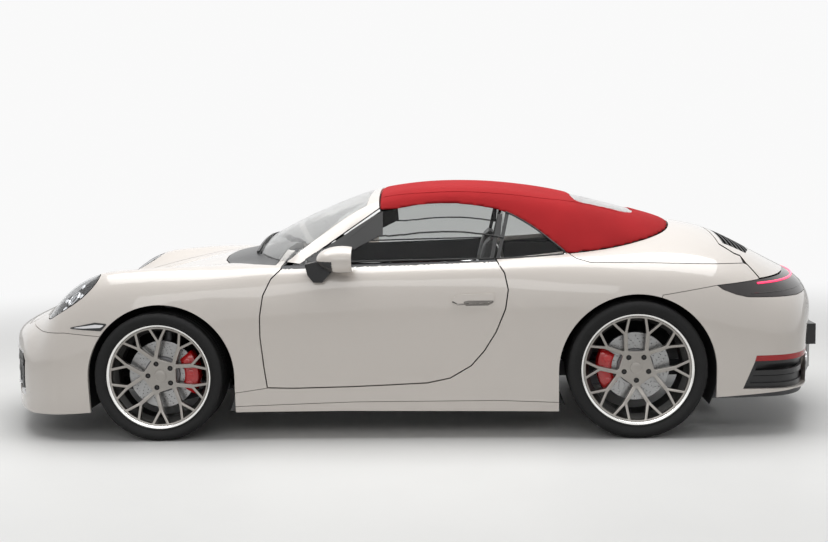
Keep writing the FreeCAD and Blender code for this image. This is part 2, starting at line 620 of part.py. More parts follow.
# Engine lid with the slatted air inlet and the spoiler at its end.
lid_outline_shares = lid_side_shares + lamp_top_shares[2:] + [(3600, 1100)]
lid_tool = side_prism(drawn_in(lid_outline_shares, shut), -wide, wide)
engine_lid = body_outer.common(lid_tool).cut(body_rest)
inlet_shares = both_sides([(2962, 0), (2956, 300), (2954, 480), (3072, 490), (3118, 330), (3141, 0)])
inlet_tool = top_prism(inlet_shares, 700, 1200)
engine_lid = engine_lid.cut(inlet_tool)
add("engine_lid", solids_over(engine_lid, skin ** 3))
inlet_zone = top_prism(drawn_in(inlet_shares, fit), 700, 1200)
inlet_frame = body_outer.common(inlet_zone).cut(body_rest)
slat_pitch = (at_x(3141) - at_x(2954)) / value["inlet_slats"]
slots = []
for k in range(int(value["inlet_slats"])):
    slots.append(Part.makeBox(slat_pitch - value["grille_bar"], at_y(500) * 2, roof_height,
                              V(at_x(2954) + k * slat_pitch + value["grille_bar"], -at_y(500), 0)))
spine = Part.makeBox(at_x(3300) - at_x(2900), value["grille_bar"] * 3, roof_height,
                     V(at_x(2900), -value["grille_bar"] * 1.5, 0))
inlet_grille = inlet_frame.cut(Part.makeCompound(slots).cut(spine))
add("inlet_grille", solids_over(inlet_grille, value["grille_bar"] ** 3))

# Rear bumper, its corner vents and the diffuser between them.
rear_bumper_outline_shares = ([(2440, 600), (2560, 690), (2575, 730), (2852, 771)] + lamp_low_shares[::-1]
                              + [(3600, 224), (3380, 224), (3260, 227), (3072, 216), (2852, 203), (2700, 200),
                                 (2440, 200)])
rear_bumper_zone = side_prism(drawn_in(rear_bumper_outline_shares, half_seam), -wide, wide)
rear_bumper = panel_shell.common(rear_bumper_zone).cut(arch_holes[1])
vent_shares = [(3045, 415), (3036, 381), (2979, 245), (3351, 234), (3393, 381), (3385, 412)]
vent_hole = side_prism(vent_shares, -wide, -500)
diffuser_shares = [(-470, 190), (-450, 425), (450, 425), (470, 190)]
holder_shares = [(-255, 368), (-255, 482), (255, 482), (255, 368)]
diffuser_hole = front_prism(drawn_in(diffuser_shares, -half_seam), 3200, 3600)
holder_hole = front_prism(drawn_in(holder_shares, -fit), 3300, 3600)
rear_bumper = rear_bumper.cut(Part.makeCompound([vent_hole, mirrored(vent_hole)]))
rear_bumper = rear_bumper.cut(diffuser_hole).cut(holder_hole)
add("rear_bumper", solids_over(rear_bumper, skin ** 3))
diffuser_profile_shares = [(3200, 236), (3200, 425), (3600, 425), (3600, 236), (3370, 212), (3260, 212)]
diffuser_zone = front_prism(drawn_in(diffuser_shares, half_seam), 3200, 3600)
diffuser = panel_shell.common(diffuser_zone).common(side_prism(diffuser_profile_shares, -wide, wide))
pipe_holes = []
for y in (-395, -295, 295, 395):
    pipe_holes.append(Part.makeCylinder(value["tail_pipe_radius"] + shut, rear_overhang,
                                        V(rear_axle_x, at_y(y), at_z(318)), V(1, 0, 0)))
diffuser = diffuser.cut(Part.makeCompound(pipe_holes))
diffuser = diffuser.cut(front_prism(holder_shares, 3300, 3600))
# Each corner vent is an insert with two slots, set behind the outer skin.
vent_insert = inner_shell.common(side_prism(drawn_in(vent_shares, fit), -wide, -500))
vent_slot_shares = [[(3048, 350), (3056, 366), (3372, 366), (3366, 330), (3044, 334)],
                    [(3020, 275), (3034, 309), (3356, 303), (3344, 262), (3018, 268)]]
for slot_shares in vent_slot_shares:
    vent_insert = vent_insert.cut(side_prism(slot_shares, -wide, -500))
vent_insert = solids_over(vent_insert, fit ** 3)

# Inner shell under all fixed panels; it carries them and closes the seams.
front_inner = inner_shell.common(box(-1100, 590, -wide, wide, 150, 1000))
front_cuts = [top_prism(drawn_in(bonnet_outline_shares, value["lid_landing"]), 300, 1200), pair(lamp_seat),
              arch_drum(front_liner_centre, value["front_liner_radius"], -half_width, half_width)]
front_cuts += intake_holes
front_inner = front_inner.cut(Part.makeCompound(front_cuts[:1])).cut(front_cuts[1])
front_inner = front_inner.cut(front_cuts[2]).cut(Part.makeCompound(intake_holes))
front_inner = front_inner.cut(pair(sill_beam)).cut(pair(skirt))
door_clear = side_prism(drawn_in(door_outline_shares, -value["door_step"]), -wide, wide)
front_inner = front_inner.cut(door_clear)
rear_inner = inner_shell.common(box(1612, 3560, -wide, wide, 196, 1200))
rear_inner = rear_inner.cut(door_clear).cut(cabin_hole).cut(canopy_outer)
rear_inner = rear_inner.cut(arch_drum(rear_arch_centre, value["rear_liner_radius"], -half_width, half_width))
rear_inner = rear_inner.cut(side_prism(drawn_in(lid_outline_shares, -shut), -560, 560))
rear_inner = rear_inner.cut(Part.makeCompound(pipe_holes)).cut(pair(sill_beam)).cut(pair(skirt))
rear_inner = rear_inner.cut(Part.makeCompound([vent_hole, mirrored(vent_hole)]))
front_inner = solids_over(front_inner, skin ** 3)
add("rear_inner_shell", solids_over(rear_inner, skin ** 3))

# Windscreen frame, windscreen, side windows, raised top and rear window.
canopy_frame_inner = canopy_inset(value["frame_wall"])
canopy_top_inner = canopy_inset(value["top_wall"])
canopy_glass_inner = canopy_inset(value["glass_wall"])
canopy_recess = canopy_inset(value["rear_glass_recess"])
canopy_recess_inner = canopy_inset(value["rear_glass_recess"] + value["glass_wall"])
frame_outline_shares = [(572, 1400), (572, 800), (600, 800), (655, 871), (695, 876), (1135, 1174),
                        (1127, 1240), (1097, 1330), (1090, 1400)]
screen_zone = top_prism(both_sides(canopy_glass_shares), 700, 1400)
screen_in_zone = top_prism(drawn_in(both_sides(canopy_glass_shares), fit), 700, 1400)
door_top_clear = side_prism(drawn_in(door_outline_shares, -fit), -wide, wide)
frame = canopy_outer.common(side_prism(frame_outline_shares, -wide, wide)).cut(canopy_frame_inner)
frame = frame.cut(screen_zone).cut(body_outer)
frame = frame.cut(box(560, 800, -wide, wide, 600, 894))
add("windscreen_frame", solids_over(frame, skin ** 3))
screen = canopy_outer.common(screen_in_zone).cut(canopy_glass_inner).cut(body_outer)
add("windscreen", solids_over(screen, skin ** 3))

window_top_shares = [(1142, 1160), (1244, 1169), (1346, 1186), (1448, 1191), (1548, 1189), (1649, 1177),
                     (1749, 1158), (1848, 1122), (1946, 1063), (2041, 990), (2107, 936)]
top_outline_shares = window_top_shares + [(2111, 890), (2850, 890), (2850, 1400), (1095, 1400), (1102, 1330),
                                          (1132, 1240)]
rear_window_shares = both_sides([(2168, 0), (2170, 250), (2182, 385), (2215, 420), (2430, 385), (2490, 330),
                                 (2512, 200), (2516, 0)])
top_zone = side_prism(drawn_in(top_outline_shares, fit), -wide, wide)
soft_top = canopy_outer.common(top_zone).cut(canopy_top_inner).cut(body_outer)
soft_top = soft_top.cut(top_prism(rear_window_shares, 700, 1400))
add("soft_top", solids_over(soft_top, skin ** 3))
rear_window_zone = top_prism(drawn_in(rear_window_shares, fit), 700, 1400)
rear_window = canopy_recess.common(rear_window_zone).cut(canopy_recess_inner).cut(body_outer)

window_low = 896
door_glass_shares = ([(722, window_low), (740, 905), (1136, 1160)] + window_top_shares[1:7] + [(1794, 1147),
                     (1736, window_low)])
quarter_glass_shares = [(1736, 860), (1736, window_low), (1794, 1147)] + window_top_shares[7:] + [(2107, 860)]
door_glass = canopy_outer.common(side_prism(drawn_in(door_glass_shares, shut), -wide, -400))
door_glass = solids_over(door_glass.cut(canopy_glass_inner).cut(body_outer), skin ** 3)
quarter_glass = canopy_outer.common(side_prism(drawn_in(quarter_glass_shares, fit), -wide, -400))
quarter_glass = solids_over(quarter_glass.cut(canopy_glass_inner).cut(body_outer), skin ** 3)
rear_window = solids_over(rear_window, skin ** 3)
add("rear_windows", Part.makeCompound([rear_window, quarter_glass, mirrored(quarter_glass)]))
add("door_glass_left", door_glass)
add("door_glass_right", mirrored(door_glass))


# Door handles: a flush bar that follows the skin.
proud_skin = closed_body(skin_surface(inset_rows(body_skin, body_rows, -value["handle_stand_off"])))
handle_shares = [(1513, 706), (1522, 728), (1560, 742), (1728, 746), (1731, 712), (1700, 700), (1545, 692)]
handle = proud_skin.common(side_prism(handle_shares, -wide, -600)).cut(body_outer)
handle = solids_over(handle, fit ** 3)
door_left = Part.makeCompound([door_left, handle])
add("door_left", door_left)
add("door_right", mirrored(door_left))

# Mirrors on a foot at the door's shoulder.
unit_ball = Part.makeSphere(1)
stretch = FreeCAD.Matrix()
stretch.scale(value["mirror_half_length"], value["mirror_half_width"], value["mirror_half_height"])
housing = unit_ball.transformGeometry(stretch)
mirror_place_shares = (965, 931)
mirror_back_share = 0.42
mirror_x, mirror_z = at_x(mirror_place_shares[0]), at_z(mirror_place_shares[1])
housing.translate(V(mirror_x, -value["mirror_reach"], mirror_z))
back = mirror_x + value["mirror_half_length"] * mirror_back_share
housing = housing.cut(Part.makeBox(value["mirror_half_length"], half_width, roof_height,
                                   V(back, -half_width * 1.5, 0)))
foot_shares = [(771, 905), (785, 848), (814, 812), (860, 812), (897, 857), (925, 900), (870, 925)]
foot = side_prism(foot_shares, -885, -800).cut(body_outer)
mirror = housing.fuse(solids_over(foot, fit ** 3))
add("mirror_left", mirror)
add("mirror_right", mirrored(mirror))


# Wheels. Profiles run (radius, distance outboard of the wheel's middle); a left
# wheel faces the side of negative Y.
def turned(points, angle=360):
    wire = Part.makePolygon([V(r, -w, 0) for r, w in points + points[:1]])
    return Part.Face(wire).revolve(V(0, 0, 0), V(0, 1, 0), angle)


def wheel_bar(start, end, width, depth_low, depth_high):
    # A straight bar in the plane of the wheel from one polar place to another.
    ax, az = start[0] * math.cos(math.radians(start[1])), start[0] * math.sin(math.radians(start[1]))
    bx, bz = end[0] * math.cos(math.radians(end[1])), end[0] * math.sin(math.radians(end[1]))
    length = math.hypot(bx - ax, bz - az)
    nx, nz = -(bz - az) / length * width / 2, (bx - ax) / length * width / 2
    corners = [V(ax + nx, -depth_high, az + nz), V(bx + nx, -depth_high, bz + nz),
               V(bx - nx, -depth_high, bz - nz), V(ax - nx, -depth_high, az - nz)]
    return Part.Face(Part.makePolygon(corners + corners[:1])).extrude(V(0, depth_high - depth_low, 0))


flange = value["rim_flange"]
wall = value["rim_wall"]
bolt_count = 5
bolt_step = 360 / bolt_count
# The wheel's star, in shares of the rim radius and degrees.
fork_share = 0.63
arm_end_share = 0.955
corner_share = 0.31
seat_share = 0.955
well_share = 0.87
fork_turn = bolt_step / 4
arm_turn = bolt_step / 8


def make_rim(radius, width, hub_set_in):
    half = width / 2
    seat = radius * seat_share
    well = radius * well_share
    hub_face = half - hub_set_in
    rim_face = half - value["face_set_in"]
    hub_back = hub_face - value["hub_depth"]
    barrel = turned([
        (radius, half), (radius, half - flange), (seat, half - flange), (seat, half - flange * 5),
        (well, half - flange * 7), (well, flange * 5 - half), (seat, flange * 3 - half),
        (seat, flange - half), (radius, flange - half), (radius, -half), (radius - wall, -half),
        (seat - wall, flange * 3 - half), (well - wall, flange * 5 - half), (well - wall, half - flange * 8),
        (seat - wall, half - flange * 5), (seat - wall, half - flange), (radius - flange * 0.7, half)])
    depth = value["spoke_depth"]
    middle_face = hub_face + (rim_face - hub_face) * 0.4
    envelope = turned([
        (0, hub_face), (radius * 0.3, hub_face), (radius * fork_share, middle_face),
        (seat - wall / 2, rim_face), (seat - wall / 2, rim_face - depth * 0.7),
        (radius * fork_share, middle_face - depth), (radius * 0.34, hub_back), (0, hub_back)])
    bars = []
    corners = []
    for k in range(bolt_count):
        bolt = k * bolt_step
        corner = (radius * corner_share, bolt)
        corners.append(V(radius * (corner_share + 0.035) * math.cos(math.radians(bolt)), -hub_face - flange,
                         radius * (corner_share + 0.035) * math.sin(math.radians(bolt))))
        for side in (1, -1):
            fork = (radius * fork_share, bolt + side * fork_turn)
            bars.append(wheel_bar((radius * corner_share * 0.9, bolt), fork, value["spoke_stem_width"],
                                  -half, half))
            for arm in (1, -1):
                end = (radius * arm_end_share, bolt + side * fork_turn + arm * arm_turn)
                start = (radius * fork_share * 0.98, bolt + side * fork_turn)
                bars.append(wheel_bar(start, end, value["spoke_arm_width"], -half, half))
    hub = Part.Face(Part.makePolygon(corners + corners[:1])).extrude(V(0, width, 0))
    star = hub.multiFuse(bars).common(envelope)
    rim = barrel.fuse(star)
    pockets = []
    for k in range(bolt_count):
        a = math.radians(k * bolt_step)
        place = V(value["bolt_circle_radius"] * math.cos(a), -half, value["bolt_circle_radius"] * math.sin(a))
        pockets.append(Part.makeCylinder(value["bolt_pocket_radius"], half - hub_face + value["hub_depth"] / 2,
                                         place, V(0, 1, 0)))
    return rim.cut(Part.makeCompound(pockets)).removeSplitter()


def make_tyre(tyre_radius, tyre_width, radius, width):
    seat = radius * seat_share + value["bead_fit"]
    bead = width / 2 - flange - value["bead_fit"]
    over = radius + value["bead_fit"] * 10
    bulge = tyre_width / 2
    shoulder = bulge * 0.9
    tread = tyre_radius
    high = tread - over
    half = [(seat, bead), (over, bead), (over + high * 0.08, width / 2 + flange / 4),
            (over + high * 0.3, bulge * 0.985), (over + high * 0.52, bulge), (over + high * 0.76, bulge * 0.975),
            (tread - high * 0.09, shoulder * 1.02), (tread - high * 0.02, shoulder * 0.93), (tread, shoulder * 0.8)]
    return turned(half + [(r, -w) for r, w in reversed(half)])


def make_disc(hub_set_in, width):
    mount = width / 2 - hub_set_in - value["hub_depth"] - fit
    face = mount - value["disc_behind_hub"]
    back = face - value["disc_thickness"]
    bell = value["disc_bell_radius"]
    radius = value["disc_radius"]
    bore = value["spindle_radius"] + value["bearing_gap"]
    return turned([(bore, mount), (bell, mount), (bell, face), (radius, face), (radius, back), (bell, back),
                   (bore, back)]), face, back


def make_caliper(face, back):
    gap = value["disc_clearance"]
    side = value["caliper_wall"]
    outer = value["caliper_radius"]
    inner = outer - value["caliper_depth"] - side
    rim_gap = value["disc_radius"] + gap
    shape = turned([(inner, face + gap), (rim_gap, face + gap), (rim_gap, back - gap), (inner, back - gap),
                    (inner, back - gap - side), (outer, back - gap - side), (outer, face + gap + side * 0.7),
                    (inner, face + gap + side * 0.7)], value["caliper_length_angle"])
    shape.rotate(V(0, 0, 0), V(0, 1, 0), -value["caliper_length_angle"] / 2)
    return shape


def placed(shape, x, hub_y, z):
    moved = shape.copy()
    moved.translate(V(x, -hub_y, z))
    return moved


corners = {
    "front": (front_axle_x, front_hub_y, front_hub_z, value["front_rim_radius"], value["front_rim_width"],
              value["front_hub_set_in"], value["front_tyre_radius"], value["front_tyre_width"], 180),
    "rear": (rear_axle_x, rear_hub_y, rear_hub_z, value["rear_rim_radius"], value["rear_rim_width"],
             value["rear_hub_set_in"], value["rear_tyre_radius"], value["rear_tyre_width"], 90),
}
for end, (x, hub_y, z, radius, width, set_in, tyre_radius, tyre_width, phase) in corners.items():
    rim = make_rim(radius, width, set_in)
    rim.rotate(V(0, 0, 0), V(0, 1, 0), phase)
    tyre = make_tyre(tyre_radius, tyre_width, radius, width)
    disc, face, back = make_disc(set_in, width)
    caliper = make_caliper(face, back)
    if end == "rear":
        caliper.rotate(V(0, 0, 0), V(0, 1, 0), 180)
    carrier_face = back - value["running_gap"]
    for name, shape in (("rim", rim), ("tyre", tyre), ("brake_disc", disc)):
        left = placed(shape, x, hub_y, z)
        add("%s_%s_left" % (end, name), left)
        add("%s_%s_right" % (end, name), mirrored(left))
    caliper = placed(caliper, x, hub_y, z)
    carrier = Part.makeCylinder(value["knuckle_radius"], value["knuckle_length"],
                                V(x, -hub_y - carrier_face, z), V(0, 1, 0))
    # Spindle through the disc, and the bracket that holds the caliper.
    spindle = value["disc_behind_hub"] + value["disc_thickness"] + value["running_gap"]
    carrier = carrier.fuse(Part.makeCylinder(value["spindle_radius"], spindle * 2 - fit,
                                             V(x, -hub_y - carrier_face - spindle + fit, z), V(0, 1, 0)))
    lug_low = value["caliper_wall"]
    reach = value["caliper_radius"] - value["caliper_depth"]
    bracket = Part.makeBox(reach, lug_low, value["caliper_depth"],
                           V(x if end == "front" else x - reach, -hub_y - carrier_face + fit,
                             z - value["caliper_depth"] / 2))
    carrier = carrier.fuse(bracket).cut(caliper)
    if end == "front":
        lean = math.radians(value["kingpin_lean"])
        joint_y = hub_y - value["ball_joint_inset"]
        joint_z = value["ball_joint_height"]
        up = V(0, math.sin(lean), math.cos(lean))
        joint = V(x, -joint_y, joint_z)

        def along_pin(height):
            return (height - joint_z) / math.cos(lean)

        pin = Part.makeCylinder(value["strut_radius"], along_pin(value["strut_top_height"]), joint, up)
        spring_foot = joint + up * along_pin(value["spring_foot_height"])
        spring = Part.makeCylinder(value["spring_radius"],
                                   along_pin(value["strut_top_height"]) - along_pin(value["spring_foot_height"]),
                                   spring_foot, up)
        strut_top = joint + up * along_pin(value["strut_top_height"])
        knuckle = carrier.fuse(pin).fuse(spring)
        add("front_knuckle_left", knuckle)
        add("front_knuckle_right", mirrored(knuckle))
        add("front_caliper_left", caliper)
        add("front_caliper_right", mirrored(caliper))
    else:
        add("rear_knuckles", pair(carrier))
        add("rear_calipers", pair(caliper))

# Arch liners, each a drum with its inboard wall.
def make_liner(centre, radius, inboard, wall_low):
    outboard = -(half_width - skin * 2)
    liner_wall = value["liner_wall"]
    tube = arch_drum(centre, radius + liner_wall, outboard, inboard + liner_wall)
    tube = tube.cut(arch_drum(centre, radius, outboard - overrun, inboard))
    upper = Part.makeBox(radius * 3, half_width, roof_height,
                         V(centre.x - radius * 1.5, -half_width, value["floor_height"] + skin))
    wall_cut = Part.makeBox(radius * 2, liner_wall * 2, wall_low,
                            V(centre.x - radius, inboard, 0))
    return tube.common(upper).cut(wall_cut)


front_inboard = -(front_hub_y - value["front_wheel_room"])
rear_inboard = -(rear_hub_y - value["rear_wheel_room"])
front_liner = make_liner(front_liner_centre, value["front_liner_radius"], front_inboard, value["wheel_wall_height"])
strut_hole = Part.makeCylinder(value["spring_radius"] + skin, roof_height, joint, up)
front_liner = front_liner.cut(strut_hole).common(body_core)
rear_liner = make_liner(rear_arch_centre, value["rear_liner_radius"], rear_inboard,
                        rear_hub_z + value["knuckle_radius"])
rear_liner = rear_liner.common(body_core)
front_liner = solids_over(front_liner, skin ** 3)
rear_liner = solids_over(rear_liner, skin ** 3)
add("arch_liners", Part.makeCompound([front_liner, mirrored(front_liner), rear_liner, mirrored(rear_liner)]))
liners = Part.makeCompound([front_liner, rear_liner])
skirt = skirt.cut(liners)
add("side_skirts", pair(solids_over(skirt, skin ** 3)))
add("rear_quarters", pair(solids_over(quarter.cut(liners), skin ** 3)))

# Floor, tunnel, bulkheads, luggage tub and rails as one welded structure.
low = value["floor_height"]
floor = value["floor_wall"]
plate = value["panel_wall"]
tub_half = value["tub_half_width"]
tunnel = value["tunnel_half_width"]
floor_top = low + floor


def block(x0, x1, y0, y1, z0, z1):
    return Part.makeBox(x1 - x0, y1 - y0, z1 - z0, V(x0, y0, z0))


floor_side = at_y(740) - fit
floor_front, floor_back = at_x(392), at_x(1900)
firewall_top = at_z(800)
tub_front, tub_back = at_x(-560), at_x(230)
tub_low, tub_high = at_z(330), at_z(700)
seat_floor = at_z(390)
seat_back_x = at_x(2300)
shelf_top = at_z(960)
rail_outer = at_y(380)
rail_low, rail_high = at_z(250), at_z(330)
cross_front, cross_back = at_x(-860), at_x(-860) + plate * 2
beam_front, beam_back = at_x(3320), at_x(3360)
beam_low, beam_high = at_z(400), at_z(460)
seat_side = at_y(560)
rear_rail_inner, rear_rail_outer = at_y(450), at_y(500)
front_rail_inner = at_y(280)
tray_side = at_y(220)


# What lies outside the arch liners and the rooms of the front springs, and inside the body's shell.
def inside_body(pieces):
    shape = pieces[0].multiFuse(pieces[1:]).common(body_core)
    for centre, radius, inboard in ((front_liner_centre, value["front_liner_radius"], front_inboard),
                                    (rear_arch_centre, value["rear_liner_radius"], rear_inboard)):
        drum = arch_drum(centre, radius + value["liner_wall"], -half_width, inboard + value["liner_wall"])
        shape = shape.cut(drum).cut(mirrored(drum))
    spring_room = Part.makeCylinder(value["spring_radius"] + skin, along_pin(value["strut_top_height"]), joint, up)
    return solids_over(shape.cut(pair(spring_room)), fit ** 3)


# Floor with its tunnel, the wall before the feet and the heel wall of the rear seats.
floor_pan = inside_body([
    block(floor_front, floor_back, -floor_side, floor_side, low, floor_top),
    block(floor_front, floor_back, -tunnel, tunnel, low, floor_top + value["tunnel_height"]),
    block(floor_front, floor_front + plate, -floor_side, floor_side, low, firewall_top),
    block(floor_back, floor_back + plate, -floor_side, floor_side, low, seat_floor + plate),
])
# Luggage tub under the bonnet, closed behind by the box of the heater.
tub_walls = [
    block(tub_front, tub_back, -tub_half, tub_half, tub_low, tub_low + plate),
    block(tub_front - plate, tub_front, -tub_half - plate, tub_half + plate, tub_low, tub_high),
    block(tub_back, floor_front, -tub_half - plate, tub_half + plate, tub_low, tub_high),
    block(tub_front, tub_back, tub_half, tub_half + plate, tub_low, tub_high),
    block(tub_front, tub_back, -tub_half - plate, -tub_half, tub_low, tub_high),
]
luggage_tub = inside_body(tub_walls)
add("luggage_tub", luggage_tub)
# Front rails, undertray, cross member and the towers that hold the struts.
front_rail = block(cross_front, tub_front, front_rail_inner, rail_outer, rail_low, rail_high)
tub_rail = block(tub_front, floor_front, front_rail_inner, rail_outer, rail_low, tub_low + plate)
tower = Part.makeCylinder(value["spring_radius"] * 1.4, plate, strut_top + up * fit, up)
tower_brace_shares = [(-300, 690), (-318, 690), (-520, 775), (-545, 795), (-545, 809), (-500, 800), (-300, 715)]
brace = front_prism(tower_brace_shares, -45, 45)
front_structure = inside_body([
    block(cross_front, floor_front, -tray_side, tray_side, low, low + plate),
    block(cross_front, cross_back, -at_y(700), at_y(700), low, at_z(420)),
    front_rail, mirrored(front_rail), tub_rail, mirrored(tub_rail), tower, mirrored(tower), brace, mirrored(brace)])
add("front_structure", front_structure.cut(luggage_tub))
# Rear rails with the cross beam of the bumper, the shelf of the rear seats and its side walls.
side_wall = block(at_x(1830), at_x(2290), at_y(700), at_y(700) + plate, low, at_z(880))
rear_rail = block(floor_back + plate, beam_back, rear_rail_inner, rear_rail_outer, rail_low, rail_high)
beam_post = block(beam_front, beam_back, rear_rail_inner, rear_rail_outer, rail_low, beam_high)
rear_structure = inside_body([
    block(floor_back, seat_back_x, -seat_side, seat_side, seat_floor, seat_floor + plate),
    block(seat_back_x, seat_back_x + plate, -seat_side, seat_side, seat_floor, shelf_top),
    block(beam_front, beam_back, -at_y(700), at_y(700), beam_low, beam_high),
    side_wall, mirrored(side_wall), rear_rail, mirrored(rear_rail), beam_post, mirrored(beam_post)])
add("rear_structure", rear_structure.cut(floor_pan))

# Hinge blocks on the front posts, close behind the doors' inner part.
hinges = []
hinge_stop = side_prism(drawn_in(door_outline_shares, shut + value["door_step"] - fit), -wide, wide)
for height in (430, 700):
    hinge = box(470, 600, -860, -812, height, height + 46).common(body_core).cut(hinge_stop)
    hinges.append(solids_over(hinge, fit ** 3))
front_inner = front_inner.multiFuse(hinges + [mirrored(h) for h in hinges])
add("front_inner_shell", solids_over(front_inner, skin ** 3))

# Front axle: subframe, wishbones and steering rack.
arm = value["arm_thickness"]
arm_top = joint_z - value["strut_radius"] * math.sin(lean) - fit
arm_shares = [(-170, -345), (-120, -345), (-28, -600), (60, -600), (180, -345), (235, -345), (40, -690), (36, -742),
              (-36, -742), (-40, -690)]


def lug_plate(points, z0, z1):
    wire = Part.makePolygon([V(at_x(x), at_y(y), z0) for x, y in points + points[:1]])
    return Part.Face(wire).extrude(V(0, 0, z1 - z0))


wishbone = lug_plate(arm_shares, arm_top - arm, arm_top)
cradle_low = low + plate + fit
cradle = [block(at_x(-190), at_x(255), -at_y(350), -at_y(290), cradle_low, arm_top + arm),
          block(at_x(-190), at_x(255), at_y(290), at_y(350), cradle_low, arm_top + arm),
          block(at_x(-60), at_x(60), -at_y(295), at_y(295), cradle_low, arm_top)]
rack = Part.makeCylinder(arm, at_y(450) * 2, V(at_x(150), -at_y(450), arm_top + arm * 0.7), V(0, 1, 0))
front_axle = cradle[0].multiFuse(cradle[1:] + [wishbone, mirrored(wishbone), rack])
add("front_axle", front_axle)

# Engine and gearbox as one block; rear axle with its arms and drive shafts.
engine = block(at_x(2340), at_x(2980), -at_y(300), at_y(300), at_z(232), at_z(610))
add("engine_block", engine)
shaft_radius = value["shaft_radius"]
rear_disc, rear_face, rear_back = make_disc(value["rear_hub_set_in"], value["rear_rim_width"])
carrier_inner = rear_hub_y + rear_back - value["running_gap"] - value["knuckle_length"]
shaft = Part.makeCylinder(shaft_radius, carrier_inner - fit - at_y(300), V(rear_axle_x, -carrier_inner + fit, rear_hub_z),
                          V(0, 1, 0))
rear_arm_low = rail_low - fit - arm
rear_arm_shares = [(2260, -440), (2320, -440), (2420, -560), (2480, -560), (2560, -440), (2620, -440), (2500, -640),
                   (2500, -735), (2400, -735), (2400, -640)]
rear_arm = lug_plate(rear_arm_shares, rear_arm_low, rail_low - fit)
crossbar = block(at_x(2250), at_x(2330), -at_y(485), at_y(485), rear_arm_low - arm, rail_low - fit)
side_bar = block(at_x(2250), at_x(2630), -at_y(485), -at_y(435), rear_arm_low - arm, rail_low - fit)
post = block(at_x(2425), at_x(2475), -at_y(735), -at_y(700), rail_low - fit, rear_hub_z - value["knuckle_radius"])
post = post.cut(Part.makeCylinder(value["knuckle_radius"] + fit, half_width, V(rear_axle_x, -half_width, rear_hub_z),
                                  V(0, 1, 0)))
rear_axle = crossbar.multiFuse([side_bar, mirrored(side_bar), rear_arm, mirrored(rear_arm), post, mirrored(post)])
rear_axle = rear_axle.cut(engine)
add("rear_axle", Part.makeCompound([rear_axle, shaft, mirrored(shaft)]))

# Cabin: dashboard, console, steering wheel, seats.
dash_shares = [(602, 610), (602, 842), (640, 862), (760, 876), (802, 862), (815, 800), (770, 740), (748, 690),
               (742, 610)]
dashboard = side_prism(dash_shares, -700, 700).common(canopy_frame_inner)
wheel_centre = spot(950, -370, 800)
lean = math.radians(value["steering_column_lean"])
column_way = V(-math.cos(lean), 0, -math.sin(lean))
grip = value["steering_wheel_grip"]
wheel_radius = value["steering_wheel_radius"]
column_radius = value["steering_column_radius"]
hub_depth = grip * 2.4
ring = Part.makeTorus(wheel_radius, grip, wheel_centre, column_way)
centre_hub = Part.makeCylinder(wheel_radius * 0.36, hub_depth, wheel_centre - column_way * grip, column_way)
spokes = []
for turn in (0, 180, 270):
    bar = Part.makeBox(wheel_radius, grip * 2, grip, V(0, -grip, -grip / 2))
    bar.rotate(V(0, 0, 0), V(0, 0, 1), turn)
    bar.Placement = FreeCAD.Placement(wheel_centre, FreeCAD.Rotation(V(0, 0, 1), column_way)).multiply(
        FreeCAD.Placement(V(0, 0, 0), FreeCAD.Rotation(V(0, 0, 1), turn + 90)))
    spokes.append(bar)
steering_wheel = ring.multiFuse([centre_hub] + spokes)
add("steering_wheel", steering_wheel)
column = Part.makeCylinder(column_radius, wheel_radius * 2, wheel_centre + column_way * (hub_depth - grip + fit),
                           column_way)
dashboard = solids_over(dashboard, skin ** 3).fuse(column.common(box(700, 1000, -500, -200, 600, 900)))
tunnel_top = floor_top + value["tunnel_height"]


def low_prism(points, base, y0, y1):
    wire = Part.makePolygon([V(at_x(x), y0, base + at_z(z)) for x, z in points + points[:1]])
    return Part.Face(wire).extrude(V(0, y1 - y0, 0))


console_shares = [(650, 0), (650, 252), (742, 252), (760, 200), (860, 130), (1010, 96), (1440, 92), (1500, 66),
                  (1500, 0)]
console = low_prism(console_shares, tunnel_top + fit, -tunnel * 0.9, tunnel * 0.9)
console = console.cut(side_prism(drawn_in(dash_shares, -fit), -700, 700))
add("dashboard", Part.makeCompound([dashboard, solids_over(console, skin ** 3)]))
seat_half = value["seat_width"] / 2
seat_y = value["seat_spacing"] / 2
seat_low = floor_top + value["seat_rail_height"]
cushion_shares = [(1030, 10), (1022, 90), (1060, 128), (1180, 132), (1490, 100), (1520, 60), (1520, 0), (1060, 0)]
back_shares = [(1526, 20), (1530, 110), (1596, 360), (1654, 560), (1690, 700), (1720, 728), (1756, 716),
               (1762, 640), (1730, 420), (1650, 40), (1630, 0), (1560, 0)]
cushion = low_prism(cushion_shares, seat_low, -seat_y - seat_half, -seat_y + seat_half)
backrest = low_prism(back_shares, seat_low, -seat_y - seat_half, -seat_y + seat_half)
rail = block(at_x(1080), at_x(1600), -seat_y - seat_half * 0.8, -seat_y - seat_half * 0.6, floor_top,
             seat_low - fit)
rail_two = rail.copy()
rail_two.translate(V(0, seat_half * 1.4, 0))
add("front_seats", Part.makeCompound([cushion, backrest, mirrored(cushion), mirrored(backrest)]))
floor_pan = floor_pan.multiFuse([rail, rail_two, mirrored(rail), mirrored(rail_two)])
add("floor_pan", floor_pan)
rear_cushion_shares = [(1900, 0), (1896, 70), (1930, 92), (2170, 50), (2186, 0)]
rear_back_shares = [(2190, 0), (2176, 60), (2262, 480), (2280, 500), (2299, 500), (2299, 0)]
rear_seat_low = seat_floor + plate + fit
rear_cushion = low_prism(rear_cushion_shares, rear_seat_low, -at_y(520), -at_y(60))
rear_back = low_prism(rear_back_shares, rear_seat_low, -at_y(520), -at_y(60))
add("rear_seats", Part.makeCompound([rear_cushion, rear_back, mirrored(rear_cushion), mirrored(rear_back)]))

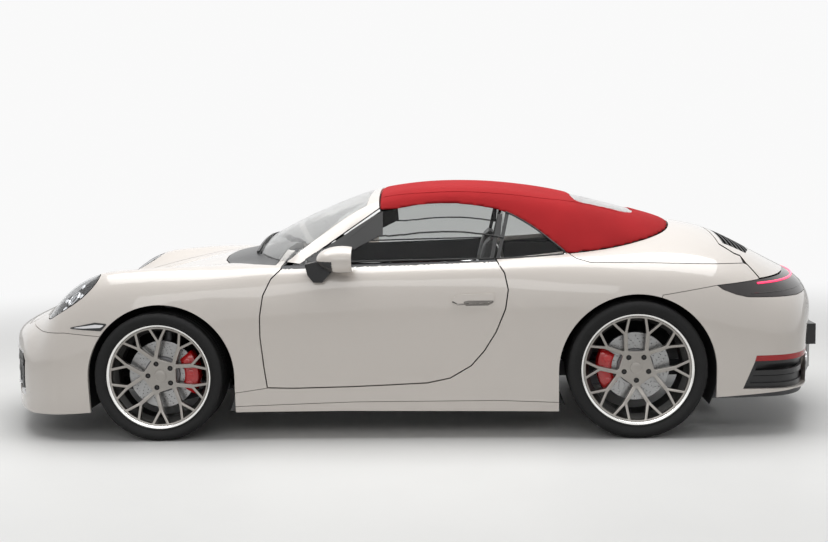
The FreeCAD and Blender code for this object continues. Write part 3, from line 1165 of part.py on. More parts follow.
# Exhaust tips through the diffuser, the bare plate holder and the front grilles.
pipe = value["tail_pipe_radius"]
tips = []
tip_place_shares = [(3440, -395), (3454, -295)]
for x, y in tip_place_shares:
    centre = V(at_x(x) - value["tail_pipe_length"], at_y(y), at_z(318))
    tube = Part.makeCylinder(pipe, value["tail_pipe_length"], centre, V(1, 0, 0))
    tips.append(tube.cut(Part.makeCylinder(pipe - value["tail_pipe_wall"], value["tail_pipe_length"],
                                           centre + V(value["tail_pipe_wall"] * 2, 0, 0), V(1, 0, 0))))
# A hanger under the rear cross beam carries the two tips of a side.
hanger = block(beam_front + fit, beam_back - fit, -at_y(405), -at_y(285),
               at_z(318) + pipe - value["tail_pipe_wall"] / 2, beam_low - fit)
hung_tips = hanger.multiFuse(tips)
add("exhaust_tips", pair(hung_tips))
diffuser = solids_over(diffuser, skin ** 3)
holder = front_prism(holder_shares, 3380, 3511).cut(body_rest)
diffuser = diffuser.fuse(solids_over(holder, skin ** 3))
add("rear_diffuser", Part.makeCompound([diffuser, vent_insert, mirrored(vent_insert)]))
grille_zone = Part.makeCompound([front_prism(drawn_in(intake_shares, fit), -1080, -600),
                                 mirrored(front_prism(drawn_in(intake_shares, fit), -1080, -600)),
                                 front_prism(drawn_in(mouth_shares, fit), -1080, -880)])
grille = inner_shell.common(grille_zone)
bars = []
bar_pitch = at_z(26)
for k in range(10):
    bars.append(box(-1100, -500, -wide, wide, 180, 200).translated(V(0, 0, k * bar_pitch)))
grille = grille.cut(Part.makeCompound(bars).cut(Part.makeCompound(
    [box(-1100, -500, y - 6, y + 6, 100, 600) for y in (-640, -560, -480, -400, -200, -70, 70, 200, 400, 480, 560,
                                                         640)])))
add("front_grilles", Part.makeCompound([g for g in grille.Solids if g.Volume > shell ** 3]))

# Wipers lying along the foot of the windscreen.
proud_canopy = closed_body(skin_surface(inset_rows(canopy_skin, canopy_rows, -value["wiper_stand_off"])))
wiper_shares = [(452, 60), (470, 60), (520, 420), (576, 560), (562, 566), (500, 430)]
wiper_two_shares = [(438, -380), (454, -390), (470, 10), (455, 14)]
wiper_zone = Part.makeCompound([top_prism(wiper_shares, 800, 1300), top_prism(wiper_two_shares, 800, 1300)])
wipers = proud_canopy.common(wiper_zone).cut(canopy_outer).cut(body_outer)
add("wipers", Part.makeCompound([w for w in wipers.Solids if w.Volume > 1000]))

doc.recompute()
failed = [o.Name for o in doc.Objects if "Invalid" in o.State or "Error" in o.State]
for feature in parts:
    shape = feature.Shape
    if shape.isNull() or not shape.isValid():
        failed.append(feature.Label)
if failed:
    raise RuntimeError("these objects failed: %s" % failed)
for feature in parts:
    feature.Shape.exportStep("parts/%s.step" % feature.Label)
    b = feature.Shape.BoundBox
    print("%-22s %3d solids  %8.1f cm3" % (feature.Label, len(feature.Shape.Solids), feature.Shape.Volume / 1000))
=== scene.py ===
import json
import math

import bmesh
import bpy
from mathutils import Matrix, Vector
from mathutils.bvhtree import BVHTree


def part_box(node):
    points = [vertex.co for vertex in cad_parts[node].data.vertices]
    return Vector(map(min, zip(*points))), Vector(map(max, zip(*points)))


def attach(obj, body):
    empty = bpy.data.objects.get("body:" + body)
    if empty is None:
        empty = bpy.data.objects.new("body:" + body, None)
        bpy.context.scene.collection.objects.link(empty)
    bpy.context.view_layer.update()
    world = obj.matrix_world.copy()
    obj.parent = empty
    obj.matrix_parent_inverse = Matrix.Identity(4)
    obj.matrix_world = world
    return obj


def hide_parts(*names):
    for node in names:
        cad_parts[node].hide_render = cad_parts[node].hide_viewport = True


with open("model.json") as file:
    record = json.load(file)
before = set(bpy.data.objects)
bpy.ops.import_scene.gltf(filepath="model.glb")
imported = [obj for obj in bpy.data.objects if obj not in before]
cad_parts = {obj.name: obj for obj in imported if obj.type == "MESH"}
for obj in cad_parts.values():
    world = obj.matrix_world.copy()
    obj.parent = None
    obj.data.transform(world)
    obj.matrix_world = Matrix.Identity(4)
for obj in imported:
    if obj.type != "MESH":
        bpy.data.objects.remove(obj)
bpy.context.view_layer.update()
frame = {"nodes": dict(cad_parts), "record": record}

nodes = frame["nodes"]
scene = bpy.context.scene
MM = 0.001


# Materials made of nodes.
class Look:
    """One procedural material, its shader and a few short ways to add nodes."""

    def __init__(self, name, colour, roughness, metallic=0.0, **inputs):
        self.material = bpy.data.materials.new(name)
        self.material.use_nodes = True
        self.tree = self.material.node_tree
        self.shader = self.tree.nodes["Principled BSDF"]
        self.shader.inputs["Base Color"].default_value = (*colour, 1)
        self.shader.inputs["Roughness"].default_value = roughness
        self.shader.inputs["Metallic"].default_value = metallic
        for key, given in inputs.items():
            self.shader.inputs[key.replace("_", " ")].default_value = given
        self.roughness = roughness
        self.position = None

    def node(self, kind, **settings):
        made = self.tree.nodes.new(kind)
        for key, given in settings.items():
            socket = key.replace("_", " ")
            if socket in made.inputs:
                made.inputs[socket].default_value = given
            else:
                setattr(made, key, given)
        return made

    def link(self, start, end):
        self.tree.links.new(start, end)

    def place(self):
        if self.position is None:
            self.position = self.node("ShaderNodeTexCoord").outputs["Object"]
        return self.position

    def noise(self, scale, detail=4.0, stretch=(1, 1, 1)):
        mapping = self.node("ShaderNodeMapping", Scale=stretch)
        self.link(self.place(), mapping.inputs["Vector"])
        texture = self.node("ShaderNodeTexNoise", Scale=scale, Detail=detail)
        self.link(mapping.outputs["Vector"], texture.inputs["Vector"])
        return texture.outputs["Fac"]

    def waves(self, scale, axis, distortion):
        texture = self.node("ShaderNodeTexWave", wave_type="BANDS", bands_direction=axis,
                            Scale=scale, Distortion=distortion)
        self.link(self.place(), texture.inputs["Vector"])
        return texture.outputs["Fac"]

    def cells(self, scale):
        texture = self.node("ShaderNodeTexVoronoi", feature="DISTANCE_TO_EDGE", Scale=scale)
        self.link(self.place(), texture.inputs["Vector"])
        return texture.outputs["Distance"]

    def both(self, one, other, kind="MULTIPLY"):
        made = self.node("ShaderNodeMath", operation=kind)
        self.link(one, made.inputs[0])
        self.link(other, made.inputs[1])
        return made.outputs["Value"]

    def tint(self, factor, amount):
        # Colour runs a little darker and lighter round the base colour.
        ramp = self.node("ShaderNodeMapRange", From_Min=0.3, From_Max=0.7, To_Min=1 - amount,
                         To_Max=1 + amount)
        self.link(factor, ramp.inputs["Value"])
        mix = self.node("ShaderNodeMix", data_type="RGBA", blend_type="MULTIPLY")
        mix.inputs["Factor"].default_value = 1
        base = self.shader.inputs["Base Color"]
        if base.is_linked:
            self.link(base.links[0].from_socket, mix.inputs["A"])
        else:
            mix.inputs["A"].default_value = base.default_value
        self.link(ramp.outputs["Result"], mix.inputs["B"])
        self.link(mix.outputs["Result"], base)
        return self

    def wear(self, factor, amount):
        # Roughness follows the factor.
        ramp = self.node("ShaderNodeMapRange", To_Min=max(self.roughness - amount, 0),
                         To_Max=min(self.roughness + amount, 1))
        self.link(factor, ramp.inputs["Value"])
        self.link(ramp.outputs["Result"], self.shader.inputs["Roughness"])
        return self

    def bump(self, factor, height, strength=1.0):
        bump = self.node("ShaderNodeBump", Distance=height, Strength=strength)
        self.link(factor, bump.inputs["Height"])
        normal = self.shader.inputs["Normal"]
        if normal.is_linked:
            self.link(normal.links[0].from_socket, bump.inputs["Normal"])
        self.link(bump.outputs["Normal"], normal)
        return self


def paint_look():
    look = Look("body_paint", (0.60, 0.555, 0.512), 0.36, Coat_Weight=1.0, Coat_Roughness=0.03)
    look.tint(look.noise(1400, 2), 0.02)
    look.bump(look.noise(500, 2), 0.00002)
    return look.material


def plastic_look(name, colour, roughness, grain=900, height=0.00012, **inputs):
    look = Look(name, colour, roughness, **inputs)
    look.tint(look.noise(9), 0.12)
    look.bump(look.noise(grain, 3), height)
    return look.material


def metal_look(name, colour, roughness, scratches=260, metallic=1.0):
    look = Look(name, colour, roughness, metallic)
    look.wear(look.noise(scratches, 5), 0.08)
    look.tint(look.noise(7), 0.05)
    return look.material


def turned_metal_look(name, colour, roughness):
    # Machined face: fine grooves and a colour that changes a little across them.
    look = Look(name, colour, roughness, 1.0)
    look.wear(look.noise(120, 6, (1, 40, 1)), 0.1)
    look.bump(look.noise(1800, 3), 0.00003)
    return look.material


def glass_look(name, colour, index=1.45):
    look = Look(name, colour, 0.0, Transmission_Weight=1.0, IOR=index)
    look.tint(look.noise(3), 0.01)
    return look.material


def fabric_look():
    # Canvas: warp and weft threads, a soft sheen and faint clouding of the dye.
    look = Look("canvas_red", (0.335, 0.014, 0.017), 0.9, Sheen_Weight=0.06, Sheen_Roughness=0.5,
                Specular_IOR_Level=0.15)
    look.shader.inputs["Sheen Tint"].default_value = (1.0, 0.25, 0.25, 1)
    weave = look.both(look.waves(420, "X", 0.4), look.waves(420, "Y", 0.4), "ADD")
    look.tint(look.noise(5, 5), 0.07)
    look.tint(look.noise(900, 2), 0.10)
    look.bump(weave, 0.00025, 0.6)
    look.bump(look.noise(30, 4), 0.0006)
    return look.material


def leather_look(name, colour, roughness):
    look = Look(name, colour, roughness)
    look.tint(look.noise(14), 0.15)
    look.wear(look.noise(40, 5), 0.08)
    look.bump(look.cells(420), 0.0001, 0.3)
    return look.material


def rubber_look():
    look = Look("tyre_rubber", (0.006, 0.006, 0.0062), 0.62, Specular_IOR_Level=0.3)
    look.tint(look.noise(12), 0.2)
    look.wear(look.noise(60, 5), 0.08)
    look.bump(look.noise(700, 3), 0.0002)
    return look.material


def glow_look(name, colour, glow, strength):
    look = Look(name, colour, 0.15, Emission_Strength=strength)
    look.shader.inputs["Emission Color"].default_value = (*glow, 1)
    look.tint(look.noise(40), 0.05)
    return look.material


looks = {
    "paint": paint_look(),
    "black_trim": plastic_look("black_trim", (0.016, 0.016, 0.017), 0.3),
    "grille_black": plastic_look("grille_black", (0.012, 0.012, 0.013), 0.42),
    "structure": plastic_look("structure_coat", (0.045, 0.045, 0.048), 0.55, 300),
    "liner": plastic_look("liner_black", (0.008, 0.008, 0.008), 0.9, 400, 0.0004),
    "glass": glass_look("window_glass", (0.975, 0.99, 0.985), index=1.22),
    "lens": glass_look("lamp_lens", (0.97, 0.98, 0.99)),
    "red_lens": plastic_look("red_lens", (0.055, 0.010, 0.011), 0.05, 30),
    "top_fabric": fabric_look(),
    "rim": metal_look("rim_alloy", (0.33, 0.312, 0.29), 0.36, 200),
    "tyre": rubber_look(),
    "disc": turned_metal_look("disc_steel", (0.36, 0.36, 0.36), 0.3),
    "caliper": plastic_look("caliper_red", (0.50, 0.008, 0.010), 0.2, 60, 0.0001, Coat_Weight=0.6),
    "knuckle": metal_look("knuckle_alloy", (0.25, 0.25, 0.26), 0.55),
    "axle": metal_look("axle_alloy", (0.22, 0.22, 0.23), 0.55),
    "engine": metal_look("engine_alloy", (0.22, 0.22, 0.225), 0.6),
    "cabin_plastic": plastic_look("cabin_plastic", (0.017, 0.017, 0.019), 0.55),
    "leather": leather_look("black_leather", (0.022, 0.021, 0.022), 0.45),
    "steel": metal_look("polished_steel", (0.60, 0.60, 0.61), 0.10),
}
# Looks of the pieces that this script adds.
looks.update({
    "bright_lip": turned_metal_look("bright_lip", (0.88, 0.87, 0.85), 0.16),
    "bolt": plastic_look("wheel_bolt", (0.010, 0.010, 0.010), 0.3),
    "rubber_seal": plastic_look("rubber_seal", (0.010, 0.010, 0.010), 0.55, 500),
    "screen_glass": glass_look("screen_glass", (0.985, 0.99, 0.985), index=1.5),
    "chrome": metal_look("chrome_trim", (0.62, 0.62, 0.63), 0.12),
    "reflector": plastic_look("red_reflector", (0.36, 0.012, 0.014), 0.12, 700, 0.0003),
    "red_light": glow_look("red_light", (0.75, 0.05, 0.09), (1.0, 0.03, 0.12), 1.6),
    "lamp_bowl": plastic_look("lamp_bowl", (0.05, 0.05, 0.055), 0.25),
    "day_light": glow_look("day_light", (0.8, 0.82, 0.85), (1, 1, 1), 0.25),
    "smoked": plastic_look("smoked_lens", (0.035, 0.030, 0.030), 0.06, 30),
    "mirror_glass": metal_look("mirror_glass", (0.85, 0.86, 0.87), 0.02),
    # Darker paint tone: painted shade for the hand hollows behind the door handles.
    "painted_hollow_shade": plastic_look("painted_hollow_shade", (0.20, 0.185, 0.17), 0.4),
    "barrel_dark": metal_look("barrel_dark", (0.10, 0.098, 0.095), 0.45),
})

slot_of = {row["node"]: row["material_slot"] for row in frame["record"]["subparts"]}
for name, thing in nodes.items():
    thing.data.materials.clear()
    thing.data.materials.append(looks["screen_glass" if name == "windscreen" else slot_of[name]])


# Short ways to make pieces.
def centre_of(node):
    low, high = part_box(node)
    return (Vector(low) + Vector(high)) / 2


def size_of(node):
    low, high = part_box(node)
    return Vector(high) - Vector(low)


front_axle = centre_of("front_tyre_left").x


def spot(x, y, z):
    """A place in millimetres from the front axle, the middle plane and the ground, in metres."""
    return Vector((front_axle + x * MM, y * MM, z * MM))


def mm(*pairs):
    """Pairs given in millimetres, in metres."""
    return [(a * MM, b * MM) for a, b in pairs]


def placed(name, data):
    thing = bpy.data.objects.new(name, data)
    scene.collection.objects.link(thing)
    return thing


def opened(*meshes):
    work = bmesh.new()
    for mesh in meshes:
        work.from_mesh(mesh)
    return work


def result_of(holder):
    """A new mesh with the object's modifiers or curve settings applied; the object goes."""
    graph = bpy.context.evaluated_depsgraph_get()
    mesh = bpy.data.meshes.new_from_object(holder.evaluated_get(graph))
    bpy.data.objects.remove(holder)
    return mesh


def shade(mesh, degrees):
    """Smooth faces; edges over degrees stay sharp."""
    work = opened(mesh)
    limit = math.radians(degrees)
    for face in work.faces:
        face.smooth = True
    for edge in work.edges:
        edge.smooth = len(edge.link_faces) == 2 and edge.calc_face_angle(0) < limit
    work.to_mesh(mesh)
    work.free()


def piece(name, mesh, look, body="body", stands_for=(), sharp=32):
    """An object that rides on a body; edges over sharp degrees stay sharp."""
    thing = placed(name, mesh)
    if not mesh.materials:
        mesh.materials.append(looks[look])
    shade(mesh, sharp)
    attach(thing, body)
    if stands_for:
        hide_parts(*stands_for)
    return thing


def mesh_of(work, name="mesh", merge=1e-6, outward=True):
    if merge:
        bmesh.ops.remove_doubles(work, verts=work.verts, dist=merge)
    if outward:
        bmesh.ops.recalc_face_normals(work, faces=work.faces)
    mesh = bpy.data.meshes.new(name)
    work.to_mesh(mesh)
    work.free()
    return mesh


def joined(meshes, name="joined"):
    work = opened(*meshes)
    for mesh in meshes:
        bpy.data.meshes.remove(mesh)
    return mesh_of(work, name, merge=0, outward=False)


def lathe(profile, segments, closed=True, marks=None, sweep=math.tau, start=0.0):
    """Turns (radius, height) points about local Z; marks gives a material index per span."""
    work = bmesh.new()
    whole = sweep >= math.tau - 1e-6
    count = segments if whole else segments + 1
    rings = []
    for k in range(count):
        a = start + sweep * k / segments
        rings.append([work.verts.new((r * math.cos(a), r * math.sin(a), h)) for r, h in profile])
    spans = len(profile) if closed else len(profile) - 1
    for k in range(segments):
        ring, after = rings[k], rings[(k + 1) % count]
        for i in range(spans):
            j = (i + 1) % len(profile)
            face = work.faces.new((ring[i], ring[j], after[j], after[i]))
            if marks:
                face.material_index = marks[i]
    if not whole and closed:
        work.faces.new(rings[0])
        work.faces.new(rings[-1][::-1])
    return mesh_of(work, "turned")


def mesh_from(curve):
    """The mesh that a curve makes; the curve goes."""
    mesh = result_of(placed(curve.name, curve))
    bpy.data.curves.remove(curve)
    mesh.materials.clear()
    return mesh


def tube(points, radius, roundness=2):
    """A round capped tube along points."""
    curve = bpy.data.curves.new("tube", "CURVE")
    curve.dimensions = "3D"
    curve.bevel_depth = radius
    curve.bevel_resolution = roundness
    curve.use_fill_caps = True
    spline = curve.splines.new("POLY")
    spline.points.add(len(points) - 1)
    for point, place in zip(spline.points, points):
        point.co = (*place, 1)
    return mesh_from(curve)


def even(points, step):
    """Points every step along a smooth line through the given ones."""
    count = len(points)
    dense = []
    parts = 12
    for i in range(count - 1):
        p0, p1, p2 = points[max(i - 1, 0)], points[i], points[i + 1]
        p3 = points[i + 2] if i + 2 < count else p2
        for k in range(parts):
            t = k / parts
            dense.append(0.5 * ((2 * p1) + (p2 - p0) * t + (2 * p0 - 5 * p1 + 4 * p2 - p3) * t * t
                                + (3 * p1 - p0 - 3 * p2 + p3) * t ** 3))
    dense.append(points[-1].copy())
    chosen = [dense[0]]
    gone = 0.0
    for a, b in zip(dense, dense[1:]):
        gone += (b - a).length
        if gone >= step:
            chosen.append(b)
            gone = 0.0
    if (chosen[-1] - dense[-1]).length > step / 3:
        chosen.append(dense[-1])
    return chosen


def plate(outer, holes, depth, bevel, fine=None):
    """A flat plate about Z = 0 with holes and rounded edges, from loops of (x, y)."""
    curve = bpy.data.curves.new("plate", "CURVE")
    curve.dimensions = "2D"
    curve.fill_mode = "BOTH"
    curve.extrude = depth / 2 - bevel
    curve.bevel_depth = bevel
    curve.bevel_resolution = 1
    for loop in [outer] + list(holes):
        spline = curve.splines.new("POLY")
        spline.points.add(len(loop) - 1)
        for point, (x, y) in zip(spline.points, loop):
            point.co = (x, y, 0, 1)
        spline.use_cyclic_u = True
    mesh = mesh_from(curve)
    if fine:
        work = opened(mesh)
        bmesh.ops.remove_doubles(work, verts=work.verts, dist=1e-6)
        for _ in range(4):
            long_edges = [e for e in work.edges if e.calc_length() > fine]
            if not long_edges:
                break
            bmesh.ops.subdivide_edges(work, edges=long_edges, cuts=1)
            bmesh.ops.triangulate(work, faces=[f for f in work.faces if len(f.verts) > 4])
        work.to_mesh(mesh)
        work.free()
    return mesh


def rounded(points, radius):
    """A closed loop of (x, y) with its corners rounded."""
    loop = []
    count = len(points)
    for i in range(count):
        before, here, after = (Vector(points[j % count]) for j in (i - 1, i, i + 1))
        one, two = before - here, after - here
        if one.length < 1e-9 or two.length < 1e-9:
            continue
        bend = one.angle(two, math.pi)
        if bend > math.radians(172):
            loop.append(tuple(here))
            continue
        reach = min(radius / math.tan(bend / 2), one.length * 0.45, two.length * 0.45)
        a = here + one.normalized() * reach
        b = here + two.normalized() * reach
        for k in range(5):
            t = k / 4
            loop.append(tuple(a * (1 - t) ** 2 + here * 2 * t * (1 - t) + b * t * t))
    return loop


def moved(mesh, matrix):
    mesh.transform(matrix)
    if matrix.determinant() < 0:
        mesh.flip_normals()
    return mesh


# Surfaces of the CAD model, to lay pieces on.
def tree_of(*names):
    work = opened(*(nodes[name].data for name in names))
    made = BVHTree.FromBMesh(work)
    work.free()
    return made


def landed(tree, start, way):
    """Where a ray meets the surface, or the nearest place to it, and the normal there."""
    place, normal = tree.ray_cast(start, way)[:2]
    if place is None:
        place, normal = tree.find_nearest(start + way * 0.5)[:2]
    if normal.dot(way) > 0:
        normal = -normal
    return place, normal


# Wheels. A wheel's mesh is made about Z with its outer face up, then laid on its axle.
def polar(radius, degrees):
    turn = math.radians(degrees)
    return Vector((radius * math.cos(turn), radius * math.sin(turn)))


def inset_loop(points, insets):
    """A closed loop moved inward edge by edge; the loop runs counter-clockwise."""
    count = len(points)
    lines = []
    for i in range(count):
        a, b = points[i], points[(i + 1) % count]
        way = (b - a).normalized()
        inward = Vector((-way.y, way.x))
        lines.append((a + inward * insets[i], way))
    loop = []
    for i in range(count):
        (p, u), (q, v) = lines[i - 1], lines[i]
        cross = u.x * v.y - u.y * v.x
        if abs(cross) < 1e-6:
            loop.append(q)
            continue
        t = ((q - p).x * v.y - (q - p).y * v.x) / cross
        loop.append(p + u * t)
    return loop


# Shares of the rim's radius where the spokes leave the hub, fork, and reach the rim.
corner_share, fork_share, window_share = 0.30, 0.64, 0.925
stem_width, arm_width, edge_radius = 20 * MM, 13 * MM, 2.2 * MM
bolt_circle = 65 * MM
# Degrees between bolts, from a bolt to its fork, and from a fork to where its arms end.
bolt_step, fork_turn, arm_turn = 72, 18, 9
bolt_angles = {end: [first + bolt_step * k for k in range(5)]
               for end, first in (("front", 180), ("rear", -90))}


def star_mesh(radius, half, hub_in, angles):
    """The crossed spokes: one plate with windows, dished towards the hub."""
    stem, arm = stem_width / 2 - edge_radius, arm_width / 2 - edge_radius
    windows = []
    rim_at = radius * window_share

    def arc(start, end, steps=5):
        return [polar(rim_at, start + (end - start) * k / steps) for k in range(steps + 1)]

    for bolt in angles:
        corner = polar(radius * corner_share, bolt)
        right = polar(radius * fork_share, bolt - fork_turn)
        left = polar(radius * fork_share, bolt + fork_turn)
        loop = [corner, right] + arc(bolt - arm_turn, bolt + arm_turn) + [left]
        windows.append((loop, [stem, arm] + [0] * 5 + [arm, stem], 9 * MM))
        after = polar(radius * corner_share, bolt + bolt_step)
        far = polar(radius * fork_share, bolt + bolt_step - fork_turn)
        gap = fork_turn + arm_turn
        loop = [corner, left] + arc(bolt + gap, bolt + bolt_step - gap) + [far, after]
        windows.append((loop, [stem, arm] + [0] * 5 + [arm, stem, 13 * MM], 13 * MM))
        for fork in (bolt - fork_turn, bolt + fork_turn):
            apex = polar(radius * fork_share * 1.01, fork)
            loop = [apex] + arc(fork - arm_turn, fork + arm_turn)
            windows.append((loop, [arm] + [0] * 5 + [arm], 4 * MM))
    holes = [rounded([tuple(p) for p in inset_loop(loop, insets)], turn)
             for loop, insets, turn in windows]
    for bolt in angles:
        centre = polar(bolt_circle, bolt)
        holes.append([tuple(centre + polar(15.5 * MM, a)) for a in range(0, 360, 20)])
    outer = [tuple(polar(radius * 0.948, a)) for a in range(0, 360, 3)]
    depth = 30 * MM
    mesh = plate(outer, holes, depth, edge_radius, fine=14 * MM)
    hub_face, rim_face = half - hub_in, half - 9 * MM
    middle = hub_face + (rim_face - hub_face) * 0.42
    for vertex in mesh.vertices:
        r = math.hypot(vertex.co.x, vertex.co.y) / radius
        if r < corner_share:
            face = hub_face
        elif r < fork_share:
            t = (r - corner_share) / (fork_share - corner_share)
            face = hub_face + (middle - hub_face) * t * t * (3 - 2 * t)
        else:
            face = middle + (rim_face - middle) * min((r - fork_share) / (0.95 - fork_share), 1)
        # Both faces of a spoke follow the dish, a depth apart.
        if vertex.co.z < 0:
            vertex.co.z = face - depth + (vertex.co.z + depth / 2)
        else:
            vertex.co.z = face + (vertex.co.z - depth / 2)
    return mesh


def barrel_mesh(radius, half):
    """The rim's barrel with its well; the outer lip is machined bright."""
    lip, wall = 10 * MM, 8 * MM
    seat, well = radius * 0.955, radius * 0.87
    profile = [(radius - 7 * MM, half - 1 * MM), (radius - 4 * MM, half),
               (radius - 1.2 * MM, half), (radius, half - 1.5 * MM), (radius, half - lip),
               (seat, half - lip), (seat, half - 5 * lip), (well, half - 7 * lip),
               (well, 5 * lip - half), (seat, 3 * lip - half), (seat, lip - half),
               (radius, lip - half), (radius, -half), (radius - wall, -half),
               (seat - wall, 3 * lip - half), (well - wall, 5 * lip - half),
               (well - wall, half - 8 * lip), (seat - wall, half - 5 * lip),
               (seat - wall, half - 1.9 * lip), (radius - 13 * MM, half - 7 * MM)]
    bright = {0, 1, 2, 3, 4, 19}
    marks = [1 if i in bright else 0 for i in range(len(profile))]
    mesh = lathe(profile, 120, marks=marks)
    mesh.materials.append(looks["barrel_dark"])
    mesh.materials.append(looks["bright_lip"])
    return mesh


def tyre_mesh(radius, width, rim_radius, rim_half):
    """A tyre with four grooves and shoulder blocks."""
    bulge = width / 2
    bead = rim_half - 10.4 * MM
    over = rim_radius + 3 * MM
    high = radius - over
    half_profile = [(rim_radius * 0.955 + 0.4 * MM, bead), (over - 2 * MM, bead),
                    (over, rim_half + 1 * MM), (over + high * 0.05, rim_half + 3.5 * MM),
                    (over + high * 0.10, rim_half + 2.5 * MM)]
    start = rim_half + 2.5 * MM
    for k in range(1, 8):
        t = k / 8
        swell = math.sin(math.pi * min(t / 0.62, 1) / 2) ** 0.9
        fall = max((t - 0.62) / 0.38, 0) ** 2
        half_profile.append((over + high * (0.10 + 0.76 * t),
                             start + (bulge - start) * swell - bulge * 0.055 * fall))
    half_profile += [(radius - high * 0.075, bulge * 0.925), (radius - high * 0.03, bulge * 0.885),
                     (radius - high * 0.008, bulge * 0.82), (radius - high * 0.002, bulge * 0.76)]
    groove, deep = 4.5 * MM, 6 * MM
    for place in (0.52, 0.17):
        w = bulge * place
        half_profile += [(radius, w + groove), (radius - deep, w + groove * 0.8),
                         (radius - deep, w - groove * 0.8), (radius, w - groove)]
    profile = half_profile + [(r, -w) for r, w in reversed(half_profile)]
    segments, blocks = 168, 42
    mesh = lathe(profile, segments)
    for vertex in mesh.vertices:
        r = math.hypot(vertex.co.x, vertex.co.y)
        outer = abs(vertex.co.z) / bulge
        if r > radius - high * 0.05 and 0.80 < outer < 0.95:
            turn = math.degrees(math.atan2(vertex.co.y, vertex.co.x)) % (360 / blocks)
            if turn < 360 / segments * 0.9:
                share = (r - 3.5 * MM) / r
                vertex.co.x *= share
                vertex.co.y *= share
    return mesh


def disc_mesh(face, radius, bell, thick):
    """A brake disc, drilled in rows that lean back."""
    holes = []
    rows = 5
    for group in range(12):
        for row in range(rows):
            for start, shift in ((14 * MM, 0), (22 * MM, 15)):
                reach = bell + start + (radius - bell - 26 * MM) * row / (rows - 1)
                place = polar(reach, group * 30 + shift + row * 4.6)
                if place.length < radius - 8 * MM:
                    holes.append([tuple(place + polar(3.4 * MM, a)) for a in range(0, 360, 45)])
    inner = [tuple(polar(bell + 2 * MM, a)) for a in range(0, 360, 5)]
    outer = [tuple(polar(radius - 1 * MM, a)) for a in range(0, 360, 4)]
    ring = plate(outer, [inner] + holes, thick, 1 * MM)
    ring.transform(Matrix.Translation((0, 0, face - thick / 2)))
    return ring


def bell_mesh(face, bell, mount, thick):
    bore, wall, back = 31 * MM, bell - 5 * MM, face - thick + 1 * MM
    return lathe([(bore, mount), (wall, mount), (bell, mount - 4 * MM), (bell, back), (wall, back),
                  (wall, mount - 7 * MM), (bore, mount - 7 * MM)], 64)


def caliper_mesh(face, thick, turn):
    """A caliper over the disc: an arched body with three raised cylinders on its outer side."""
    gap, side = 5 * MM, 34 * MM
    outer, rim_gap, inner = 201 * MM, 180 * MM, 119 * MM
    top, low = face + gap, face - thick - gap
    profile = [(inner, top), (rim_gap, top), (rim_gap, low), (inner, low),
               (inner + 4 * MM, low - 16 * MM), (outer - 12 * MM, low - 18 * MM),
               (outer, low - 6 * MM), (outer, top + side * 0.35),
               (outer - 7 * MM, top + side * 0.8), (outer - 22 * MM, top + side),
               (inner + 22 * MM, top + side * 0.9), (inner + 4 * MM, top + side * 0.5)]
    sweep = math.radians(70)
    body = lathe(profile, 18, sweep=sweep, start=-sweep / 2)
    for vertex in body.vertices:
        a = abs(math.atan2(vertex.co.y, vertex.co.x)) / (sweep / 2)
        if vertex.co.z > top + 2 * MM:
            drop = max(a - 0.72, 0) / 0.28
            vertex.co.z = top + (vertex.co.z - top) * (1 - 0.55 * drop * drop)
    parts = [body]
    for step in (-22, 0, 22):
        knob = lathe([(0, side + 3 * MM), (14 * MM, side + 3 * MM), (18.5 * MM, side),
                      (19 * MM, side - 12 * MM), (0, side - 12 * MM)], 28, closed=False)
        place = polar(156 * MM, step)
        knob.transform(Matrix.Translation((place.x, place.y, top)))
        parts.append(knob)
    mesh = joined(parts, "caliper")
    mesh.transform(Matrix.Rotation(math.radians(turn), 4, "Z"))
    return mesh


def bolts_mesh(hub_face, angles):
    heads = []
    for bolt in angles:
        place = polar(bolt_circle, bolt)
        cup = lathe(mm((0, -19), (15.3, -19), (15.3, -1), (13.4, -1), (13.4, -12), (0, -12)),
                    24, closed=False)
        head = lathe(mm((0, -3), (8, -3), (10, -5), (10, -13)), 6, closed=False)
        for mesh in (cup, head):
            mesh.transform(Matrix.Translation((place.x, place.y, hub_face)))
            heads.append(mesh)
    return joined(heads, "bolts")


def cap_mesh(hub_face):
    cap = lathe(mm((0, 3.2), (18, 2.6), (25, 1.2), (27.5, 0.6), (28.5, 1.2), (31, 1.2), (32, 0),
                   (32, -3), (0, -3)), 64, closed=False)
    cap.transform(Matrix.Translation((0, 0, hub_face)))
    return cap


